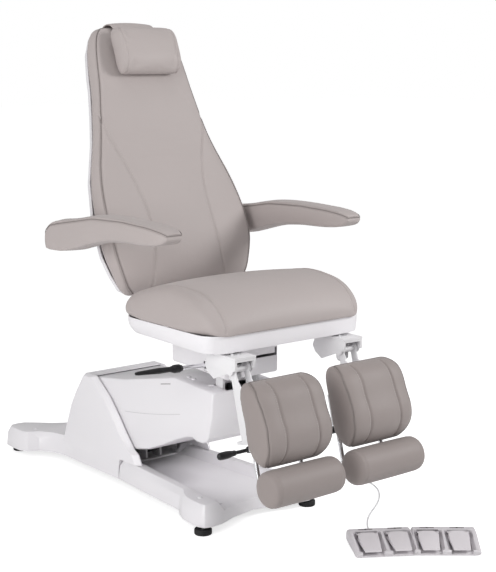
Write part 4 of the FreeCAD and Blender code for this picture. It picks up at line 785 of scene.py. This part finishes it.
class CHAIR_OT_headrest(bpy.types.Operator):
    """Headrest pillow, its strap and the counterweight behind"""
    bl_idname = "chair.headrest"
    bl_label = "Headrest"

    def execute(self, context):
        sizes = context.scene.chair_sizes
        pillow = stuffed("headrest_pillow", "headrest_pillow_cover", BACK_INTO, 0.004, 5)
        puff(pillow, [], 0.01, 0.005)
        finer(pillow)
        middle = PILLOW_LOW + PILLOW_H / 2
        for side in (-1, 1):
            ring = [back_point(side * (PILLOW_HALF - 0.017), middle + PILLOW_H * 0.6 * math.sin(a),
                               PILLOW_N + PILLOW_H * 0.3 * math.cos(a)) for a in np.linspace(0, 2 * math.pi, 61)]
            ring = nearest_on(pillow, ring)
            sew(pillow, [ring], sizes.seam_depth * 0.8, 0.003)
        cover(pillow, "headrest_pillow", "headrest", "upholstery")
        weight = stuffed("headrest_counterweight", "counterweight_cover", -BACK_INTO, 0.004, 4)
        puff(weight, [], 0.01, 0.003)
        cover(weight, "headrest_counterweight", "counterweight", "upholstery")
        self.strap()
        return {"FINISHED"}

    def strap(self):
        """Band that wraps over the top of the back, from the pillow to the counterweight."""
        band = added(bpy.ops.mesh.primitive_grid_add, x_subdivisions=12, y_subdivisions=len(STRAP_LINE) - 1, size=2)
        band.name = "headrest_strap_band"
        co = points_of(band)
        places = []
        for x, y, _ in co:
            up, forward = STRAP_LINE[round((y + 1) / 2 * (len(STRAP_LINE) - 1))]
            fall = STRAP_FALL * x * x if up > STRAP_TURN else 0
            places.append(tuple(back_point(x * STRAP_HALF, up - fall, forward)))
        set_points(band, np.array(places))
        apply_modifier(band, "SOLIDIFY", thickness=STRAP_THICK, offset=0)
        apply_modifier(band, "BEVEL", width=0.0015, segments=2, limit_method="ANGLE",
                       angle_limit=math.radians(60))
        apply_modifier(band, "SUBSURF", levels=1, render_levels=1)
        only(band)
        bpy.ops.object.shade_smooth()
        dress(band, "upholstery")
        stand_for(band, "headrest_strap", "back")


ARM_ROWS = [(0, 0.66, 0.78), (0.025, 0.86, 0.83), (0.07, 0.97, 0.87), (0.14, 1, 0.90), (0.32, 1, 0.93),
            (0.56, 1, 0.89), (0.80, 1, 0.70), (0.93, 1, 0.58), (0.98, 0.90, 0.42), (1, 0.60, 0.26)]


class CHAIR_OT_armrests(bpy.types.Operator):
    """Armrests with piping along the top edge"""
    bl_idname = "chair.armrests"
    bl_label = "Armrests"

    def execute(self, context):
        sizes = context.scene.chair_sizes
        for side, label in SIDES:
            arm = stuffed("armrest_" + label, "armrest_cover_" + label, (0, 0, -1), sizes.voxel * 0.8, 5)
            edges = [[Vector((side * ARM_X + way * w * ARM_W / 2 * EDGE_SHARE, ARM_FRONT + a * ARM_LEN,
                              ARM_LOW + e * ARM_H)) for a, w, e in ARM_ROWS] for way in (-1, 1)]
            lines = [nearest_on(arm, between(ring_round(edges), 0.006))]
            puff(arm, lines, 0.006, 0.004)
            finer(arm)
            lines = [nearest_on(arm, between(lines[0], SEAM_STEP))]
            sew(arm, lines, sizes.seam_depth * 0.8, SEAM_WIDTH)
            # The piping takes the dark seam colour: painted shade along the edge seam
            piping("armrest_piping_" + label, lines[0][:-1], sizes.piping * 0.9, "armrest_" + label, "seam", True)
            cover(arm, "armrest_" + label, "armrest_" + label, "upholstery")
        return {"FINISHED"}


CALF_ROWS = [(0, 0.82, 0.24), (0.05, 0.93, 0.50), (0.11, 0.98, 0.63), (0.34, 1, 0.79), (0.57, 1, 0.87),
             (0.77, 1, 0.83), (0.86, 0.97, 0.73), (0.95, 0.90, 0.54), (1, 0.78, 0.38)]


class CHAIR_OT_leg_rests(bpy.types.Operator):
    """Calf pads with two sewn channels, and the foot rolls under them"""
    bl_idname = "chair.leg_rests"
    bl_label = "Leg rests"

    def execute(self, context):
        sizes = context.scene.chair_sizes
        for side, label in SIDES:
            centre = -side * PAD_IN
            pad = stuffed("calf_cushion_" + label, "calf_pad_cover_" + label, LEG_INTO, 0.004, 5)
            ways = [[leg_point(side, centre + u, PAD_TOP + v * PAD_LEN, AHEAD) for v in (0.03, 0.3, 0.6, 0.97)]
                    for u in (-0.053, 0.057)]
            lines = [onto(pad, between(way), LEG_INTO) for way in ways]
            edges = [[leg_point(side, centre + way * w * PAD_HALF * EDGE_SHARE, PAD_TOP + a * PAD_LEN,
                                PAD_BACK - 0.002 + e * PAD_DEPTH) for a, w, e in CALF_ROWS] for way in (-1, 1)]
            loop = nearest_on(pad, between(ring_round(edges), 0.006))
            puff(pad, lines + [loop], 0.006, 0.005)
            finer(pad)
            lines = [onto(pad, between(way, SEAM_STEP), LEG_INTO) for way in ways]
            sew(pad, lines, sizes.seam_depth, SEAM_WIDTH)
            for number, u in enumerate((-0.059, 0.051)):
                way = [leg_point(side, centre + u, PAD_TOP + v * PAD_LEN, AHEAD) for v in (0.05, 0.3, 0.6, 0.95)]
                stitches("calf_stitches_%s_%d" % (label, number), onto(pad, between(way, SEAM_STEP), LEG_INTO),
                         STITCH_RADIUS, "leg_" + label)
            loop = nearest_on(pad, between(loop, 0.005))
            sew(pad, [loop], sizes.seam_depth * 0.7, SEAM_WIDTH)
            # The piping takes the dark seam colour: painted shade along the edge seam
            piping("calf_piping_" + label, loop[:-1], sizes.piping * 0.9, "leg_" + label, "seam", True)
            cover(pad, "calf_cushion_" + label, "leg_" + label, "leg_upholstery")
            roll = turned("foot_roll_cover_" + label, self.roll_profile(), 80,
                          lambda a, y, z: leg_point(side, centre + a, ROLL_V + y, ROLL_N + z))
            rings = [[leg_point(side, centre + way * ROLL_SEAM, ROLL_V + ROLL_R * math.cos(a),
                                ROLL_N + ROLL_R * math.sin(a)) for a in np.linspace(0, 2 * math.pi, 61)]
                     for way in (-1, 1)]
            sew(roll, rings, sizes.seam_depth * 0.8, 0.0026)
            cover(roll, "foot_roll_" + label, "roll_" + label, "leg_upholstery")
        return {"FINISHED"}

    def roll_profile(self):
        """Half section of a stuffed roll: a domed end, a soft edge and a barely swelling middle."""
        end = [(0, 0), (0.0002, 0.3), (0.0012, 0.6), (0.0032, 0.80), (0.0066, 0.92), (0.0115, 0.98)]
        left = [(a - ROLL_HALF, r * ROLL_R) for a, r in end]
        run = np.linspace(0.017 - ROLL_HALF, ROLL_HALF - 0.017, 81)
        middle = [(a, ROLL_R * (1 + 0.02 * (1 - (a / ROLL_HALF) ** 2))) for a in run]
        return left + middle + [(-a, r) for a, r in reversed(left)]


# Moulded covers

FLAT = math.radians(0.6)


def soften(piece, edge, material, segments=3, angle=28):
    """Round the edges of a solid and shade it."""
    in_edit(piece, bpy.ops.mesh.dissolve_limited, angle_limit=FLAT)
    apply_modifier(piece, "BEVEL", width=edge, segments=segments, limit_method="ANGLE",
                   angle_limit=math.radians(angle), use_clamp_overlap=True)
    only(piece)
    bpy.ops.object.shade_smooth_by_angle(angle=math.radians(40))
    dress(piece, material)


def moulded(node, name, body, edge, material="shell", angle=28, segments=3):
    """Copy of a CAD piece with its edges rounded."""
    piece = node_copy(node, name)
    soften(piece, edge, material, segments, angle)
    stand_for(piece, node, body)
    return piece


TOWER_LID = (0.1265, 0.141, 0.172, 0.3155, 0.3195)
ARM_SIDE = 0.1219
# Lines on the arm cover's side as (y, z) places: a grey bead of painted shade runs along the crease, a dark one
# along the slot
ARM_CREASE = [(-0.0228, 0.2359), (-0.0778, 0.2426), (-0.1583, 0.2555), (-0.2362, 0.2703), (-0.3117, 0.2875)]
ARM_SLOT = [(-0.2175, 0.3593), (-0.2655, 0.3690)]
# Screw caps of both sides, in groups: place on the left, way they face, radius, body
SCREW_CAPS = [[((0.0850, -0.330, 0.3897), (0, -0.06, 1), 0.0075, "lift_arm"),
               ((0.0798, -0.4074, 0.3851), (0, -0.06, 1), 0.0085, "lift_arm")],
              [((0.1646, -0.4635, 0.0850), (0, 0, 1), 0.0070, "root")],
              [((0.1722, 0.4423, 0.0850), (0, 0, 1), 0.0070, "root")]]
PAN_LIP, PAN_TUCK, PAN_CUTS = 0.012, 0.045, (0.578, 0.568, 0.558, 0.548, 0.538)


class CHAIR_OT_covers(bpy.types.Operator):
    """Moulded covers of the base, the lifting arm, the carriage, the seat and the back"""
    bl_idname = "chair.covers"
    bl_label = "Covers"

    def execute(self, context):
        edge = context.scene.chair_sizes.edge
        for node, body, share in (("base_cover_front", "root", 1.5), ("lift_arm_cover", "lift_arm", 1),
                                  ("carriage_cover", "carriage", 0.8), ("back_shell", "back", 1)):
            moulded(node, node + "_skin", body, edge * share)
        pan = node_copy("seat_pan", "seat_pan_skin")
        self.bowl(pan)
        soften(pan, edge * 1.8, "shell", 4)
        stand_for(pan, "seat_pan", "seat")
        rear = moulded("base_cover_rear", "base_cover_rear_skin", "root", edge * 1.2)
        half, front, back, low, high = TOWER_LID
        add_block(rear, (-half, front, low), (half, back, high))
        caps = [(side, *cap) for group in SCREW_CAPS for side in (-1, 1) for cap in group]
        for number, (side, (x, y, z), way, radius, body) in enumerate(caps):
            dome("screw_cap_%d" % (number + 1), (side * x, y, z), way, radius, body)
        crease = rounded_line([(-ARM_SIDE, y, z) for y, z in ARM_CREASE], 2)
        for side, label in ((1, "right"), (-1, "left")):
            line = [Vector((p[0] * side, p[1], p[2])) for p in crease]
            # Grey bead along the crease line: painted shade, not a fold in the cover
            piping("arm_cover_crease_" + label, line, 0.0008, "lift_arm", "shade")
            line = [Vector((-ARM_SIDE * side, y, z)) for y, z in ARM_SLOT]
            # Dark bead along the slot line: painted shade of the slot
            piping("arm_cover_slot_shade_" + label, line, 0.0012, "lift_arm", "painted_recess_shade")
        return {"FINISHED"}

    def bowl(self, pan):
        """Draw the lower part of the pan in towards the rear, so that its side curves under."""
        for height in PAN_CUTS:
            in_edit(pan, bpy.ops.mesh.bisect, plane_co=(0, 0, height), plane_no=(0, 0, 1))
        co = points_of(pan)
        down = np.clip((PAN_TOP - PAN_LIP - co[:, 2]) / (PAN_TOP - PAN_LIP - PAN_LOW), 0, 1)
        back = np.clip((co[:, 1] - PAN_FRONT) / (PAN_REAR - PAN_FRONT), 0, 1)
        inward = PAN_TUCK * down ** 1.8 * (0.18 + 0.82 * back)
        edge = np.clip((np.abs(co[:, 0]) - 0.12) / 0.15, 0, 1)
        co[:, 0] -= np.sign(co[:, 0]) * inward * edge
        rear = np.clip((co[:, 1] - PAN_REAR + 0.07) / 0.07, 0, 1)
        co[:, 1] -= inward * rear * 0.6
        set_points(pan, co)


# Front frame of a knee bracket: outer half width, post width, front, depth, top, bar height, foot
FRAME_HALF, FRAME_POST, FRAME_Y, FRAME_DEEP = 0.035, 0.0075, -0.7027, 0.012
FRAME_TOP, FRAME_BAR, FRAME_FOOT = 0.5307, 0.0062, 0.503


# Grip of a release lever as (along, radius) places from its free end, its centre, and how flat it is
GRIP_PROFILE = [(0, 0), (0.0006, 0.0050), (0.003, 0.0082), (0.008, 0.0100), (0.018, 0.0106), (0.030, 0.0104),
                (0.040, 0.0094), (0.047, 0.0078), (0.0515, 0.0064), (0.0525, 0.0070), (0.0575, 0.0070),
                (0.0590, 0.0055), (0.0592, 0)]
GRIP_Y, GRIP_Z, GRIP_FLAT = -0.7192, 0.2912, 0.85


class CHAIR_OT_brackets(bpy.types.Operator):
    """Knee brackets with their front frame, and the leg frames"""
    bl_idname = "chair.brackets"
    bl_label = "Brackets"

    def execute(self, context):
        for side, label in SIDES:
            piece = node_copy("knee_bracket_" + label, "knee_bracket_casting_" + label)
            x = side * KNEE_X
            low = FRAME_TOP - FRAME_BAR
            back = FRAME_Y + FRAME_DEEP
            add_block(piece, (x - FRAME_HALF, FRAME_Y, low), (x + FRAME_HALF, back, FRAME_TOP))
            for way in (-1, 1):
                a, b = x + way * FRAME_HALF, x + way * (FRAME_HALF - FRAME_POST)
                add_block(piece, (min(a, b), FRAME_Y, FRAME_FOOT), (max(a, b), back, FRAME_TOP))
            soften(piece, 0.0018, "paint", 2)
            stand_for(piece, "knee_bracket_" + label, "leg_swivel_" + label)
            moulded("leg_frame_" + label, "leg_frame_casting_" + label, "leg_" + label, 0.0012, "paint",
                    30, 2)
            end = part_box("release_lever_" + label)[0][0] - 0.001
            grip = turned("release_grip_" + label, GRIP_PROFILE, 40,
                          lambda a, y, z: Vector((end + a, GRIP_Y + y * GRIP_FLAT, GRIP_Z + z)))
            dress(grip, "grip")
            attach(grip, "release_" + label)
        return {"FINISHED"}


# Foot control: place, turn and half turn of its two halves, its wells, and the slots behind the pedals, drawn as
# flat discs of painted shade
CONTROL_X, CONTROL_Y, CONTROL_TURN, HALF_TURN = 0.188, -0.955, math.radians(-35.6), math.radians(3.6)
PEDAL_PITCH, WELL_HALF, WELL_REAR, WELL_FRONT = 0.082, 0.0385, 0.034, -0.0592
SLOT_Y, SLOT_Z, SLOT_HALF, SLOT_DEEP = 0.050, 0.0385, 0.017, 0.0028
PEDAL_REAR, PEDAL_FRONT, PEDAL_SLIM, APRON, PEDAL_ROUND, PEDAL_CORNER = 0.030, -0.058, 0.26, 0.0030, 0.015, 0.012
UPRIGHT = 0.8  # least share of its length that an upright edge rises


def on_control(half_side, x, y, z):
    angle = CONTROL_TURN - half_side * HALF_TURN
    c, s = math.cos(angle), math.sin(angle)
    return Vector((CONTROL_X + x * c - y * s, CONTROL_Y + x * s + y * c, z))


def off_control(half_side, co):
    """The same points seen from one half of the foot control."""
    angle = CONTROL_TURN - half_side * HALF_TURN
    c, s = math.cos(angle), math.sin(angle)
    dx, dy = co[:, 0] - CONTROL_X, co[:, 1] - CONTROL_Y
    return np.stack([dx * c + dy * s, -dx * s + dy * c, co[:, 2]], 1)


class CHAIR_OT_foot_control(bpy.types.Operator):
    """Foot control: body with a well round each pedal, arched pedals, and behind each a slot drawn as a flat disc
    of painted shade, with a screw
    """
    bl_idname = "chair.foot_control"
    bl_label = "Foot control"

    def execute(self, context):
        body = node_copy("foot_control_base", "foot_control_body")
        for number in range(4):
            self.well(body, number)
        soften(body, 0.0016, "control", 2, 25)
        stand_for(body, "foot_control_base", "root")
        for number in range(4):
            self.pedal(number)
            self.slot(number)
        return {"FINISHED"}

    def place(self, number):
        return (-1 if number < 2 else 1), (number - 1.5) * PEDAL_PITCH

    def well(self, body, number):
        """Recess with a sloping floor that a pedal lies in."""
        half_side, x = self.place(number)
        box = added(bpy.ops.mesh.primitive_cube_add, size=2)
        places = []
        for px, py, pz in points_of(box):
            y = WELL_REAR if py > 0 else WELL_FRONT
            floor = 0.026 if py > 0 else 0.0085
            slim = 1.0 if py > 0 else 0.94
            places.append(tuple(on_control(half_side, x + px * WELL_HALF * slim, y, 0.06 if pz > 0 else floor)))
        set_points(box, np.array(places))
        apply_modifier(box, "BEVEL", width=0.006, segments=3, limit_method="ANGLE", angle_limit=math.radians(40))
        apply_modifier(body, "BOOLEAN", operation="DIFFERENCE", object=box, solver="EXACT")
        bpy.data.objects.remove(box)

    def pedal(self, number):
        """Wedge that is wide and round-cornered behind and runs down to the front lip."""
        name = "pedal_%d" % (number + 1)
        half_side, x = self.place(number)
        cap = node_copy(name, "pedal_cap_%d" % (number + 1))
        co = off_control(half_side, points_of(cap))
        ahead = np.clip((PEDAL_REAR - co[:, 1]) / (PEDAL_REAR - PEDAL_FRONT), 0, 1)
        co[:, 0] = x + (co[:, 0] - x) * (1.06 - PEDAL_SLIM * ahead)
        front = co[:, 1] < PEDAL_FRONT + 0.004
        co[front, 2] -= APRON
        set_points(cap, np.array([tuple(on_control(half_side, *p)) for p in co]))
        only(cap)
        bpy.ops.object.mode_set(mode="EDIT")
        bpy.ops.mesh.select_all(action="SELECT")
        bpy.ops.mesh.dissolve_limited(angle_limit=FLAT)
        bpy.ops.mesh.select_mode(type="EDGE")
        bpy.ops.mesh.select_all(action="DESELECT")
        bpy.ops.object.mode_set(mode="OBJECT")
        near = off_control(half_side, points_of(cap))
        for edge in cap.data.edges:
            a, b = (near[i] for i in edge.vertices)
            upright = abs(a[2] - b[2]) > UPRIGHT * np.linalg.norm(a - b)
            edge.select = bool(upright and min(a[1], b[1]) > PEDAL_REAR - PEDAL_CORNER)
        bpy.ops.object.mode_set(mode="EDIT")
        bpy.ops.mesh.bevel(offset=PEDAL_ROUND, segments=8, affect="EDGES")
        bpy.ops.mesh.select_mode(type="VERT")
        bpy.ops.object.mode_set(mode="OBJECT")
        soften(cap, 0.0020, "pedal", 3, 25)
        stand_for(cap, name, name)

    def slot(self, number):
        half_side, x = self.place(number)
        # Flat dark disc on the body where the slot is: painted shade, with a real screw head in it
        slot = added(bpy.ops.mesh.primitive_cylinder_add, vertices=32, radius=1, depth=1)
        slot.name = "pedal_slot_%d" % (number + 1)
        places = []
        for px, py, pz in points_of(slot):
            shift = SLOT_HALF if px >= 0 else -SLOT_HALF
            places.append(tuple(on_control(half_side, x + shift + px * SLOT_DEEP, SLOT_Y + py * SLOT_DEEP,
                                           SLOT_Z + pz * 0.0008)))
        set_points(slot, np.array(places))
        self.done(slot, "painted_recess_shade")
        screw = added(bpy.ops.mesh.primitive_uv_sphere_add, segments=20, ring_count=10, radius=1)
        screw.name = "pedal_screw_%d" % (number + 1)
        set_points(screw, np.array([tuple(on_control(half_side, x + p[0] * 0.0032, SLOT_Y + p[1] * 0.0032,
                                                     SLOT_Z + p[2] * 0.0014)) for p in points_of(screw)]))
        self.done(screw, "grip")

    def done(self, piece, material):
        only(piece)
        bpy.ops.object.shade_smooth_by_angle(angle=math.radians(35))
        dress(piece, material)
        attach(piece, "root")


STEPS = [CHAIR_OT_finishes, CHAIR_OT_camera, CHAIR_OT_cord, CHAIR_OT_stage, CHAIR_OT_seat, CHAIR_OT_back,
         CHAIR_OT_headrest, CHAIR_OT_armrests, CHAIR_OT_leg_rests, CHAIR_OT_covers, CHAIR_OT_brackets,
         CHAIR_OT_foot_control]


class CHAIR_PT_panel(bpy.types.Panel):
    """Steps that build the chair's looks"""
    bl_idname = "CHAIR_PT_panel"
    bl_label = "Podiatry chair"
    bl_space_type = "VIEW_3D"
    bl_region_type = "UI"
    bl_category = "Chair"

    def draw(self, context):
        for settings in (context.scene.chair_colours, context.scene.chair_sizes):
            for key in settings.__annotations__:
                self.layout.prop(settings, key)
        for step in STEPS:
            self.layout.operator(step.bl_idname)


CLASSES = [ChairColours, ChairSizes, *STEPS, CHAIR_PT_panel]


def register():
    for item in CLASSES:
        bpy.utils.register_class(item)
    bpy.types.Scene.chair_colours = PointerProperty(type=ChairColours)
    bpy.types.Scene.chair_sizes = PointerProperty(type=ChairSizes)


def unregister():
    del bpy.types.Scene.chair_sizes
    del bpy.types.Scene.chair_colours
    for item in reversed(CLASSES):
        bpy.utils.unregister_class(item)


def main():
    register()
    for step in STEPS:
        group, name = step.bl_idname.split(".")
        getattr(getattr(bpy.ops, group), name)()


if __name__ == "__main__":
    main()
